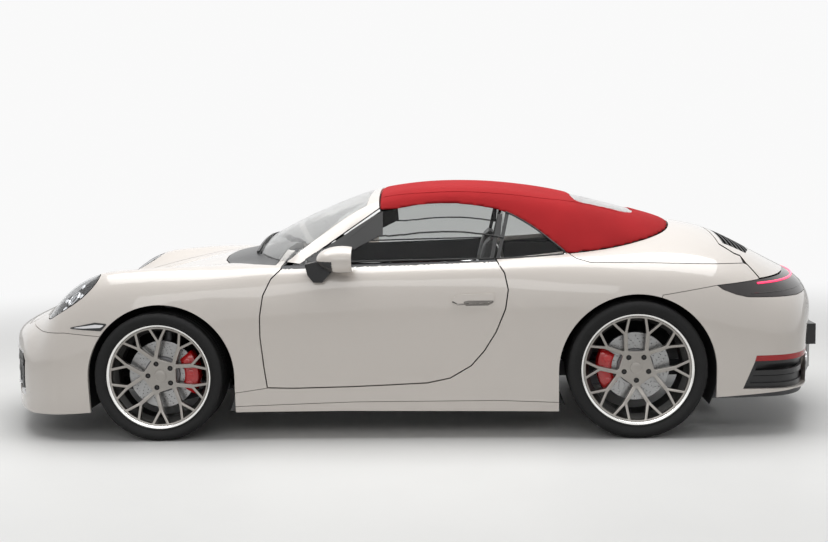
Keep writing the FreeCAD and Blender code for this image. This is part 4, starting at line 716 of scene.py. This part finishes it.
hub_set_in = {"front": 40 * MM, "rear": 56 * MM}
caliper_turn = {"front": 4, "rear": 184}
disc_radius, bell_radius, disc_thick = 175 * MM, 92 * MM, 34 * MM
hub_to_mount, mount_to_face = 36.3 * MM, 16 * MM
rear_caliper_meshes = []
for end in ("front", "rear"):
    for side, way in (("left", -1), ("right", 1)):
        tag = "%s_%s" % (end, side)
        wheel = "%s_wheel_%s" % (end, side)
        tyre, rim, disc = ("%s_%s_%s" % (end, kind, side) for kind in ("tyre", "rim", "brake_disc"))
        rim_size, tyre_size = size_of(rim), size_of(tyre)
        radius, half = rim_size.z / 2, rim_size.y / 2
        # Local x stays lengthwise, local y goes up and local z outboard.
        lay = Matrix.Translation(centre_of(tyre)) @ Matrix(
            ((1, 0, 0, 0), (0, 0, way, 0), (0, 1, 0, 0), (0, 0, 0, 1)))
        angles, set_in = bolt_angles[end], hub_set_in[end]
        hub_face = half - set_in
        mount = hub_face - hub_to_mount
        face = mount - mount_to_face
        piece("spokes_" + tag, moved(star_mesh(radius, half, set_in, angles), lay), "rim", wheel,
              stands_for=(rim,), sharp=40)
        piece("barrel_" + tag, moved(barrel_mesh(radius, half), lay), "rim", wheel)
        piece("tyre_" + tag, moved(tyre_mesh(tyre_size.z / 2, tyre_size.y, radius, half), lay),
              "tyre", wheel, stands_for=(tyre,), sharp=38)
        piece("disc_" + tag, moved(disc_mesh(face, disc_radius, bell_radius, disc_thick), lay),
              "disc", wheel, stands_for=(disc,))
        piece("disc_bell_" + tag, moved(bell_mesh(face, bell_radius, mount, disc_thick), lay),
              "knuckle", wheel)
        piece("bolts_" + tag, moved(bolts_mesh(hub_face, angles), lay), "bolt", wheel)
        piece("hub_cap_" + tag, moved(cap_mesh(hub_face), lay), "rim", wheel)
        caliper = moved(caliper_mesh(face, disc_thick, caliper_turn[end]), lay)
        if end == "front":
            piece("caliper_" + tag, caliper, "caliper", "front_carrier_" + side,
                  stands_for=("front_caliper_" + side,), sharp=36)
        else:
            rear_caliper_meshes.append(caliper)
piece("calipers_rear", joined(rear_caliper_meshes), "caliper", stands_for=("rear_calipers",),
      sharp=36)


# Pieces laid on the car's left side, drawn from the side as (x, z) in millimetres.
outside = -1400


def landed_left(tree, x, z):
    return landed(tree, spot(x, outside, z), Vector((0, 1, 0)))


def laid_on(tree, outline, proud, thick, corner=2.0):
    """A plate that follows the skin, proud of it by one measure and thick inward by the other."""
    flat = plate(rounded(outline, corner), [], 1.0, 0.0, fine=16.0)
    work = opened(flat)
    bpy.data.meshes.remove(flat)
    unseen = [f for f in work.faces if abs(f.normal.z) < 0.5 or f.calc_center_median().z < 0]
    bmesh.ops.delete(work, geom=unseen, context="FACES")
    bmesh.ops.delete(work, geom=[v for v in work.verts if not v.link_faces], context="VERTS")
    backs = {}
    for vertex in work.verts:
        place, normal = landed_left(tree, vertex.co.x, vertex.co.y)
        vertex.co = place + normal * proud
        backs[vertex] = place + normal * (proud - thick)
    made = bmesh.ops.extrude_face_region(work, geom=list(work.faces))
    lifted = [g for g in made["geom"] if isinstance(g, bmesh.types.BMVert)]
    base = [v for v in work.verts if v in backs]
    for vertex in lifted:
        twin = min(base, key=lambda b: (b.co - vertex.co).length_squared)
        vertex.co = backs[twin]
    return mesh_of(work, "laid", merge=0)


fixed = ("body", "body")
doors = ("door_left", "door_right")


def pair(name, left, look, bodies=fixed, stands_for=()):
    """A piece on the left side and its mirror image on the right."""
    right = left.copy()
    right.transform(Matrix.Scale(-1, 4, (0, 1, 0)))
    right.flip_normals()
    piece(name + "_left", left, look, bodies[0], stands_for)
    piece(name + "_right", right, look, bodies[1], stands_for)


def laid_pair(name, tree, outline, look, bodies=fixed, slot=None, **how):
    pair(name, laid_on(tree, outline, **how), look, bodies)


glass_tree = tree_of("door_glass_left", "rear_windows", "soft_top", "windscreen_frame")
window_top = [(1142, 1160), (1244, 1169), (1346, 1186), (1448, 1191), (1548, 1189), (1649, 1177),
              (1749, 1158), (1848, 1122), (1946, 1063), (2041, 990), (2107, 936)]


def seal_pair(name, points, radius, proud, bodies):
    """A rubber seal along points (x, z) on the glass, on both sides."""
    left = []
    for p in even([Vector((x, 0, z)) for x, z in points], 18):
        place, normal = landed_left(glass_tree, p.x, p.z)
        left.append(place + normal * proud)
    right = [Vector((p.x, -p.y, p.z)) for p in left]
    for spots, body, tag in ((left, bodies[0], "left"), (right, bodies[1], "right")):
        piece("%s_%s" % (name, tag), tube(spots, radius), "rubber_seal", body)


glass_edge = [(x, z - 2) for x, z in window_top]
seal_pair("belt_seal", [(732, 899), (900, 902), (1150, 906), (1400, 909), (1600, 911),
                        (1730, 912)], 5 * MM, 1 * MM, doors)
seal_pair("quarter_belt_seal", [(1742, 912), (1850, 914), (1980, 918), (2095, 930)], 5 * MM,
          1 * MM, fixed)
seal_pair("glass_top_seal", [(1128, 1160)] + glass_edge[:7] + [(1788, 1143)], 4.5 * MM, 2 * MM,
          doors)
seal_pair("quarter_top_seal", [(1800, 1142)] + glass_edge[7:], 4.5 * MM, 2 * MM, fixed)
laid_pair("pillar_band", glass_tree,
          [(734, 905), (1130, 1162), (1162, 1160), (1112, 1122), (905, 962), (812, 905)],
          "rubber_seal", doors, "black_trim", proud=2 * MM, thick=4 * MM, corner=8)
laid_pair("rear_post", glass_tree, [(1712, 905), (1764, 1152), (1784, 1146), (1732, 905)],
          "rubber_seal", doors, "black_trim", proud=1.5 * MM, thick=4 * MM)
laid_pair("quarter_post", glass_tree, [(1744, 905), (1800, 1142), (1818, 1134), (1764, 905)],
          "rubber_seal", fixed, "black_trim", proud=1.5 * MM, thick=4 * MM)

# Marker strip in front of the wheel, with its bright insert.
nose_tree = tree_of("front_wings", "front_bumper")
laid_pair("marker_frame", nose_tree,
          [(-478, 590), (-320, 620), (-254, 614), (-289, 577), (-380, 582)], "black_trim",
          proud=2.5 * MM, thick=5 * MM, corner=6)
laid_pair("marker_lens", nose_tree,
          [(-448, 592), (-318, 610), (-268, 607), (-292, 594), (-380, 590)], "chrome",
          slot="steel", proud=4 * MM, thick=3 * MM, corner=4)

# Door handles: a darker plate laid on the door under each flush bar, painted shade that stands in
# for the hand hollow.
door_tree = tree_of("door_left")
laid_pair("handle_painted_shade", door_tree,
          [(1572, 706), (1588, 684), (1700, 686), (1728, 700), (1728, 712), (1600, 712)],
          "painted_hollow_shade", doors, "paint", proud=1.2 * MM, thick=3 * MM, corner=10)
laid_pair("handle_line", door_tree,
          [(1516, 704), (1545, 689), (1604, 692), (1604, 698), (1548, 696), (1522, 710)],
          "black_trim", doors, proud=1.4 * MM, thick=3 * MM, corner=3)


# Curved sheets hung between four corners that are landed on the skin.
def sheet_between(tree, corners, proud, thick, steps=14, span=None):
    def land(x, z):
        if span is None:
            place, normal = landed_left(tree, x, z)
            return place + normal * proud, normal
        # Over an opening the sheet bridges between the skin above and below it.
        above, up_normal = landed_left(tree, x, span[0])
        below, low_normal = landed_left(tree, x, span[1])
        t = (span[0] - z) / (span[0] - span[1])
        normal = (up_normal * (1 - t) + low_normal * t).normalized()
        return above * (1 - t) + below * t + normal * proud, normal

    def side(a, b, t):
        return land(a[0] + (b[0] - a[0]) * t, a[1] + (b[1] - a[1]) * t)[0]

    a, b, c, d = corners
    facing = sum((land(*corner)[1] for corner in corners), Vector()).normalized()
    rows = []
    for i in range(steps + 1):
        v = i / steps
        row = []
        for j in range(steps + 1):
            u = j / steps
            top, low = side(a, b, u), side(d, c, u)
            left, right = side(a, d, v), side(b, c, v)
            flat = ((land(*a)[0] * (1 - u) + land(*b)[0] * u) * (1 - v)
                    + (land(*d)[0] * (1 - u) + land(*c)[0] * u) * v)
            row.append(top * (1 - v) + low * v + left * (1 - u) + right * u - flat)
        rows.append(row)
    work = bmesh.new()
    layers = [[[work.verts.new(p - facing * sink) for p in row] for row in rows]
              for sink in (0, thick)]
    for layer in layers:
        for r, after in zip(layer, layer[1:]):
            for j in range(steps):
                work.faces.new((r[j], r[j + 1], after[j + 1], after[j]))
    front, back = layers
    rim = ([(0, j) for j in range(steps)] + [(i, steps) for i in range(steps)]
           + [(steps, j) for j in range(steps, 0, -1)] + [(i, 0) for i in range(steps, 0, -1)])
    for (i, j), (k, m) in zip(rim, rim[1:] + rim[:1]):
        work.faces.new((front[i][j], front[k][m], back[k][m], back[i][j]))
    return mesh_of(work, "sheet", merge=0)


pair("vent_backing",
     sheet_between(tree_of("rear_bumper"), [(3040, 421), (3391, 418), (3357, 228), (2973, 239)],
                   -30 * MM, 3 * MM), "grille_black")
nose_skin = tree_of("front_bumper")
mouth = (462, 208)
pair("intake_panel",
     sheet_between(nose_skin, [(-962, 430), (-806, 426), (-786, 236), (-936, 244)],
                   0.5 * MM, 4 * MM, span=mouth), "grille_black")
for k, (x0, z0, x1, z1) in enumerate(((-952, 366, -800, 362), (-944, 304, -792, 300))):
    bar = sheet_between(nose_skin, [(x0, z0 + 5), (x1, z1 + 5), (x1, z1 - 5), (x0, z0 - 5)],
                        4 * MM, 6 * MM, 8, mouth)
    pair("intake_slat_%d" % k, bar, "black_trim")
for tag, corners in (("top", [(-966, 446), (-786, 441), (-790, 426), (-962, 431)]),
                     ("low", [(-944, 246), (-772, 238), (-764, 216), (-938, 228)])):
    bar = sheet_between(nose_skin, corners, 6 * MM, 9 * MM, 10, mouth)
    pair("intake_bar_" + tag, bar, "chrome")


# Tail: a red line of light in the upper part of the smoked band.
tail_tree = tree_of("tail_lamps")


def tail_line(height, from_x, proud):
    """Points round the tail at one height, from the left side over the back to the right."""
    centre = spot(2700, 0, 0)
    found = []
    rays, arch = 90, 6 * MM
    for k in range(-rays, rays + 1):
        a = math.radians(k * 0.98)
        way = Vector((math.cos(a), math.sin(a), 0))
        z = height + arch * (1 - abs(k) / rays)
        start = Vector((centre.x, 0, z)) + way * 3
        place, normal = tail_tree.ray_cast(start, -way)[:2]
        if place is not None and place.x > spot(from_x, 0, 0).x:
            found.append(place + normal * proud)
    return even(found, 15 * MM)


piece("tail_light_line", tube(tail_line(0.767, 3060, 1.5 * MM), 5.5 * MM), "red_light", "body")
piece("tail_light_rib", tube(tail_line(0.722, 3020, 0.5 * MM), 2.2 * MM), "smoked", "body")


# Soft parts: an even mesh first, swollen by cloth simulation where it is padded.
def even_mesh(mesh, voxel, passes=4):
    work = opened(mesh)
    bpy.data.meshes.remove(mesh)
    holder = placed("even", mesh_of(work, "even", merge=1e-5))
    remesh = holder.modifiers.new("even", "REMESH")
    remesh.mode = "VOXEL"
    remesh.voxel_size = voxel
    soft = holder.modifiers.new("soft", "SMOOTH")
    soft.factor = 0.5
    soft.iterations = passes
    made = result_of(holder)
    made.materials.clear()
    return made


def swollen(mesh, shrink, cap):
    """The mesh drawn in and blown up again by cloth pressure; no point moves more than cap."""
    normals = [v.normal.copy() for v in mesh.vertices]
    for vertex, normal in zip(mesh.vertices, normals):
        vertex.co -= normal * shrink
    holder = placed("pad", mesh)
    cloth = holder.modifiers.new("Cloth", "CLOTH")
    cloth.settings.quality = 4
    cloth.settings.use_pressure = True
    cloth.settings.uniform_pressure_force = 4
    cloth.settings.effector_weights.gravity = 0
    cloth.collision_settings.use_collision = False
    last_frame = 20
    cloth.point_cache.frame_start = 1
    cloth.point_cache.frame_end = last_frame
    for number in range(1, last_frame + 1):
        scene.frame_set(number)
    made = result_of(holder)
    for vertex, start in zip(made.vertices, mesh.vertices):
        gone = vertex.co - start.co
        if gone.length > cap:
            vertex.co = start.co + gone * (cap / gone.length)
    bpy.data.meshes.remove(mesh)
    scene.frame_set(1)
    return made


def loose_parts(node):
    """The separate closed forms in a CAD node, each as its centre and its own mesh."""
    work = opened(nodes[node].data)
    bmesh.ops.remove_doubles(work, verts=work.verts, dist=1e-5)
    seen = set()
    parts = []
    for first in work.verts:
        if first in seen:
            continue
        group, queue = [], [first]
        seen.add(first)
        while queue:
            vertex = queue.pop()
            group.append(vertex)
            for edge in vertex.link_edges:
                other = edge.other_vert(vertex)
                if other not in seen:
                    seen.add(other)
                    queue.append(other)
        faces = {face for vertex in group for face in vertex.link_faces}
        order = {vertex: k for k, vertex in enumerate(group)}
        mesh = bpy.data.meshes.new(node + "_part")
        mesh.from_pydata([v.co for v in group], [],
                         [[order[v] for v in face.verts] for face in faces])
        centre = sum((v.co for v in group), Vector()) / len(group)
        parts.append((centre, mesh))
    work.free()
    return parts


def bell(distance, width):
    """One at no distance, falling off smoothly over width."""
    return math.exp(-(distance / width) ** 2)


def step(t):
    """A smooth step from 0 to 1 while t goes from 0 to 1."""
    t = min(max(t, 0), 1)
    return t * t * (3 - 2 * t)


def finer(thing):
    level = thing.modifiers.new("finer", "SUBSURF")
    level.levels = 1
    level.render_levels = 1
    return thing


def size_z(mesh):
    heights = [v.co.z for v in mesh.vertices]
    return max(heights) - min(heights)


tallest_cushion = 0.3


def seat_forms(tag, width, middle_y, voxel, bolster, groove, head):
    """Pads with a sunk middle panel between bolsters, sewn channels and a narrower head.

    head is how much narrower, from which share of the height, and over which share."""
    node = tag + "_seats"
    # Shares of half the width, of the length and of the height.
    panel_edge, panel_fade, seam_at, seam_wide = 0.52, 0.16, 0.6, 0.028
    channels, channel_wide = (0.26, 0.5, 0.74), 0.012
    shoulder, shoulder_fade, neck_seam = 0.70, 0.08, 0.745
    low_all, high_all = (Vector(c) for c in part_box(node))
    head_taper, head_from, head_over = head
    for centre, mesh in loose_parts(node):
        side = -1 if centre.y < 0 else 1
        kind = "back" if size_z(mesh) > tallest_cushion else "cushion"
        mid = Vector((0, side * middle_y, 0))
        pad = swollen(even_mesh(mesh, voxel), 7 * MM, 9 * MM)
        low = min(v.co.z for v in pad.vertices)
        high = max(v.co.z for v in pad.vertices)
        normals = [v.normal.copy() for v in pad.vertices]
        for vertex, normal in zip(pad.vertices, normals):
            u = abs(vertex.co.y - mid.y) / (width / 2)
            sunk = 1 - step((u - panel_edge) / panel_fade)
            line = bell(u - seam_at, seam_wide)
            if kind == "cushion":
                facing = step((normal.z - 0.2) / 0.5)
                vertex.co.z -= facing * (bolster * sunk + groove * line)
                for channel in channels:
                    place = (vertex.co.x - low_all.x) / (high_all.x - low_all.x)
                    vertex.co.z -= (facing * sunk * groove * 0.6
                                    * bell(place - channel, channel_wide))
            else:
                t = (vertex.co.z - low) / (high - low)
                facing = step((-normal.x - 0.2) / 0.5)
                body = 1 - step((t - shoulder) / shoulder_fade)
                vertex.co.x += facing * (bolster * sunk + groove * line) * body
                vertex.co.x += facing * groove * bell(t - neck_seam, channel_wide)
                narrow = 1 - head_taper * step((t - head_from) / head_over)
                vertex.co.y = mid.y + (vertex.co.y - mid.y) * narrow
        name = "%s_seat_%s_%s" % (tag, kind, "left" if side < 0 else "right")
        thing = finer(piece(name, pad, "leather", stands_for=(node,), sharp=80))


seat_forms("front", 0.5, 0.37, 11 * MM, 22 * MM, 7 * MM, (0.42, 0.66, 0.2))
seat_forms("rear", 0.46, 0.29, 12 * MM, 14 * MM, 6 * MM, (0.12, 0.7, 0.3))

# Soft top: one curved cloth with a sewn seam along each roof rail.
top = even_mesh(nodes["soft_top"].data.copy(), 9 * MM, 3)


def rail_y(x):
    """Half the distance between the rails at x, in millimetres."""
    runs = [(1100, 505), (1400, 530), (1700, 525), (2000, 505), (2170, 455), (2300, 440),
            (2600, 420)]
    for (x0, y0), (x1, y1) in zip(runs, runs[1:]):
        if x <= x1:
            return y0 + (y1 - y0) * (x - x0) / (x1 - x0)
    return runs[-1][1]


normals = [v.normal.copy() for v in top.vertices]
for vertex, normal in zip(top.vertices, normals):
    x, y = (vertex.co.x - front_axle) / MM, abs(vertex.co.y) / MM
    if normal.z < 0.15:
        continue
    away = y - rail_y(x)
    vertex.co += normal * (0.9 * MM * bell(away, 7))
    sag = sum(bell(x - bow, 150) for bow in (1270, 1560, 1850))
    vertex.co -= normal * (1.2 * MM * sag * step((400 - y) / 300))
piece("soft_top_cloth", top, "top_fabric", stands_for=("soft_top",), sharp=60)
tree = tree_of("soft_top")
for side, tag in ((-1, "left"), (1, "right")):
    seam = []
    for x in range(1150, 2420, 30):
        place, normal = landed(tree, spot(x, side * rail_y(x), 1500), Vector((0, 0, -1)))
        seam.append(place + normal * 1.2 * MM)
    piece("soft_top_seam_" + tag, tube(even(seam, 12 * MM), 1.6 * MM), "top_fabric")


# Headlamps: a clear skin over a dark bowl with a projector and four small lights.
lamp_centre, lamp_way = spot(-452, -712, 712), Vector((-0.59, -0.44, 0.68)).normalized()
lamp_turn = Vector((0, 0, 1)).rotation_difference(lamp_way).to_matrix().to_4x4()
lamp_frame = Matrix.Translation(lamp_centre) @ lamp_turn
lamp_tree = tree_of("headlamps")
half_long, half_wide = 186 * MM, 112 * MM


def lamp_skin(share, turn):
    """The lamp's CAD face at a share of its half width, in the direction turn."""
    start = lamp_frame @ Vector((half_long * share * math.cos(turn),
                                 half_wide * share * math.sin(turn), 0.3))
    return lamp_tree.ray_cast(start, -lamp_way)[0]


lamp_low = (lamp_frame.inverted() @ lamp_skin(0, 0)).z


def lamp_shell(rings, turns, inset, thick):
    """A thin dome that follows the lamp's CAD face, inset along the lamp's axis."""
    work = bmesh.new()
    layers = []
    for offset in (inset, inset + thick):
        rows = []
        for r in range(1, rings + 1):
            row = []
            for k in range(turns):
                place = lamp_skin(0.99 * r / rings, math.tau * k / turns)
                row.append(work.verts.new(place - lamp_way * offset))
            rows.append(row)
        tip = work.verts.new(lamp_skin(0, 0) - lamp_way * offset)
        for k in range(turns):
            work.faces.new((tip, rows[0][k], rows[0][(k + 1) % turns]))
            for a, b in zip(rows, rows[1:]):
                work.faces.new((a[k], b[k], b[(k + 1) % turns], a[(k + 1) % turns]))
        layers.append(rows[-1])
    for k in range(turns):
        j = (k + 1) % turns
        work.faces.new((layers[0][k], layers[0][j], layers[1][j], layers[1][k]))
    return mesh_of(work, "lamp", merge=0)


def lamp_bowl(turns=56):
    """A dark bowl; the first two depths are from the lamp's face, the others from its middle."""
    work = bmesh.new()
    rows = []
    for share, drop in ((0.985, 3.5), (0.985, 30), (0.93, 60), (0.80, 78), (0.4, 84)):
        row = []
        for k in range(turns):
            flat = lamp_frame.inverted() @ lamp_skin(share, math.tau * k / turns)
            flat.z = (flat.z if drop < 40 else lamp_low) - drop * MM
            row.append(work.verts.new(lamp_frame @ flat))
        rows.append(row)
    tip = work.verts.new(lamp_frame @ Vector((0, 0, lamp_low - 84 * MM)))
    for k in range(turns):
        j = (k + 1) % turns
        for a, b in zip(rows, rows[1:]):
            work.faces.new((a[k], b[k], b[j], a[j]))
        work.faces.new((rows[-1][k], tip, rows[-1][j]))
    bmesh.ops.solidify(work, geom=list(work.faces), thickness=1.5 * MM)
    return mesh_of(work, "bowl", merge=0)


def lamp_part(profile, x, y, drop, segments):
    """A turned piece in the bowl, drop millimetres behind the lamp's middle."""
    mesh = lathe(profile, segments, closed=False)
    mesh.transform(lamp_frame @ Matrix.Translation((x * MM, y * MM, lamp_low - drop * MM)))
    return mesh


pair("headlamp_cover", lamp_shell(10, 56, 0.6 * MM, 3 * MM), "lens", stands_for=("headlamps",))
pair("headlamp_bowl", lamp_bowl(), "lamp_bowl")
projector_ring = mm((36, 0), (38, 4), (41, 5), (46, 1), (48, -14), (36, -14))
projector_globe = mm((0, 10), (12, 8.6), (23, 4.5), (31, -2), (35, -10), (35, -20), (0, -20))
pair("projector_ring", lamp_part(projector_ring, -12, 0, 44, 48), "chrome")
pair("projector_globe", lamp_part(projector_globe, -12, 0, 44, 48), "lens")
small_light = mm((0, 3), (9, 2.4), (12.5, 0), (13, -4), (0, -4))
pair("day_lights", joined([lamp_part(small_light, x, y, 40, 24)
                           for x, y in ((-72, 40), (52, 46), (52, -46), (-72, -40))]),
     "day_light")


# Faces of a CAD node that take a second material.
def second_look(node, look, chosen):
    mesh = nodes[node].data
    mesh.materials.append(looks[look])
    for face in mesh.polygons:
        if chosen(face.center, face.normal):
            face.material_index = len(mesh.materials) - 1


mirror_shell_x = spot(922, 0, 0).x
second_look("tail_lamps", "smoked", lambda c, n: c.z > 0.55)
second_look("tail_lamps", "reflector", lambda c, n: c.z <= 0.55)
for side, name in ((-1, "door_left"), (1, "door_right")):
    second_look(name, "cabin_plastic", lambda c, n, s=side: n.y * s < -0.25 or abs(c.y) < 0.80)
for name in ("mirror_left", "mirror_right"):
    second_look(name, "black_trim",
                lambda c, n: c.z < 0.868 or (c.x < mirror_shell_x and c.z < 0.926))
    second_look(name, "mirror_glass", lambda c, n: n.x > 0.9)
second_look("windscreen_frame", "cabin_plastic",
            lambda c, n: n.z < -0.3 or (n.x > 0.3 and c.z < 1.2))

# Exhaust tips: rolled mouths with a dark bore, a little shorter than their blanks.
pipe = mm((39, -120), (39, -8), (42, -2), (42, 0), (40, 2), (37, 1), (35.5, -4), (35.5, -120))
plug = mm((0, -60), (35, -60), (35, -64), (0, -64))
mouths = []
for y, end in ((-395, 3440), (-295, 3454), (295, 3454), (395, 3440)):
    lay = (Matrix.Translation(spot(end, y, 318) - Vector((24 * MM, 0, 0)))
           @ Matrix.Rotation(math.radians(90), 4, "Y"))
    for mesh in (lathe(pipe, 48), lathe(plug, 32, closed=False)):
        mesh.transform(lay)
        mouths.append(mesh)
piece("exhaust_mouths", joined(mouths), "chrome", "body", stands_for=("exhaust_tips",))

# Inner mirror on a stalk under the screen's top edge.
place = landed(tree_of("windscreen", "windscreen_frame"), spot(1030, 0, 1500),
               Vector((0, 0, -1)))[0]
mirror_body = plate(rounded([(-110, -32), (110, -32), (116, 0), (104, 34), (-104, 34),
                             (-116, 0)], 18), [], 18, 4)
mirror_body.transform(Matrix.Scale(MM, 4))
mirror_body.transform(Matrix.Translation(place + Vector((75 * MM, 0, -75 * MM)))
                      @ Matrix.Rotation(math.radians(90), 4, "Z")
                      @ Matrix.Rotation(math.radians(80), 4, "X"))
stalk = tube([place + Vector((x * MM, 0, z * MM)) for x, z in ((8, -9), (40, -35), (66, -70))],
             7 * MM, roundness=3)
piece("inner_mirror", joined([mirror_body, stalk]), "cabin_plastic")


# Camera at the photograph's place.
camera_data = bpy.data.cameras.new("camera")
camera = placed("camera", camera_data)
frame_width_px = 828
focal_px = 1215
sensor_mm = 36
camera_data.sensor_fit = "HORIZONTAL"
camera_data.sensor_width = sensor_mm
camera_data.lens = sensor_mm * focal_px / frame_width_px
camera_place = Vector((0.3905, -7.0, 1.472))
yaw, pitch, roll = math.radians(2.92), math.radians(5.66), math.radians(-1.05)
flat = math.cos(pitch)
forward = Vector((-math.sin(yaw) * flat, math.cos(yaw) * flat, -math.sin(pitch)))
level_right = Vector((math.cos(yaw), math.sin(yaw), 0))
level_up = level_right.cross(forward)
right = math.cos(roll) * level_right + math.sin(roll) * level_up
up = -math.sin(roll) * level_right + math.cos(roll) * level_up
camera.matrix_world = Matrix((right, up, -forward)).transposed().to_4x4()
camera.matrix_world.translation = camera_place
scene.camera = camera

# Floor, soft light and a pale world.
floor_mesh = bpy.data.meshes.new("floor")
reach = 60
floor_mesh.from_pydata([(-reach, -reach, 0), (reach, -reach, 0), (reach, reach, 0),
                        (-reach, reach, 0)], [], [(0, 1, 2, 3)])
floor = placed("floor", floor_mesh)
pale_grey = (0.95, 0.95, 0.95, 1)
floor_look = Look("floor", (0.70, 0.70, 0.69), 0.5)
floor_look.tint(floor_look.noise(2), 0.01)
# Away from the car the floor runs into the pale background.
far = floor_look.node("ShaderNodeVectorMath", operation="LENGTH")
floor_look.link(floor_look.place(), far.inputs[0])
fade = floor_look.node("ShaderNodeMapRange", interpolation_type="SMOOTHSTEP", From_Min=2.6,
                       From_Max=7.5)
floor_look.link(far.outputs["Value"], fade.inputs["Value"])
pale = floor_look.node("ShaderNodeEmission", Color=pale_grey)
rays = floor_look.node("ShaderNodeLightPath")
amount = floor_look.both(fade.outputs["Result"], rays.outputs["Is Camera Ray"])
run = floor_look.node("ShaderNodeMixShader")
floor_look.link(amount, run.inputs["Fac"])
floor_look.link(floor_look.shader.outputs["BSDF"], run.inputs[1])
floor_look.link(pale.outputs["Emission"], run.inputs[2])
floor_look.link(run.outputs["Shader"], floor_look.tree.nodes["Material Output"].inputs["Surface"])
floor.data.materials.append(floor_look.material)

world = bpy.data.worlds.new("studio")
scene.world = world
world.use_nodes = True
tree = world.node_tree
lit = tree.nodes["Background"]
lit.inputs["Color"].default_value = (1, 1, 1, 1)
lit.inputs["Strength"].default_value = 0.36
seen = tree.nodes.new("ShaderNodeBackground")
seen.inputs["Color"].default_value = pale_grey
rays = tree.nodes.new("ShaderNodeLightPath")
# The camera, reflections and what shows through glass meet the pale background.
ray = rays.outputs["Is Camera Ray"]
for kind in ("Is Glossy Ray", "Is Transmission Ray"):
    either = tree.nodes.new("ShaderNodeMath")
    either.operation = "MAXIMUM"
    tree.links.new(ray, either.inputs[0])
    tree.links.new(rays.outputs[kind], either.inputs[1])
    ray = either.outputs["Value"]
mix = tree.nodes.new("ShaderNodeMixShader")
tree.links.new(ray, mix.inputs["Fac"])
tree.links.new(lit.outputs["Background"], mix.inputs[1])
tree.links.new(seen.outputs["Background"], mix.inputs[2])
tree.links.new(mix.outputs["Shader"], tree.nodes["World Output"].inputs["Surface"])


def area_light(name, place, target, width, height, power):
    data = bpy.data.lights.new(name, "AREA")
    data.shape = "RECTANGLE"
    data.size = width
    data.size_y = height
    data.energy = power
    lamp = placed(name, data)
    lamp.location = place
    lamp.rotation_euler = (Vector(target) - Vector(place)).to_track_quat("-Z", "Y").to_euler()


area_light("ceiling_light", (0, 0, 4.2), (0, 0, 0), 7.0, 3.2, 265)
area_light("near_light", (-1.0, -6.0, 3.4), (0, 0, 0.5), 6.0, 1.6, 55)

scene.view_settings.view_transform = "Standard"
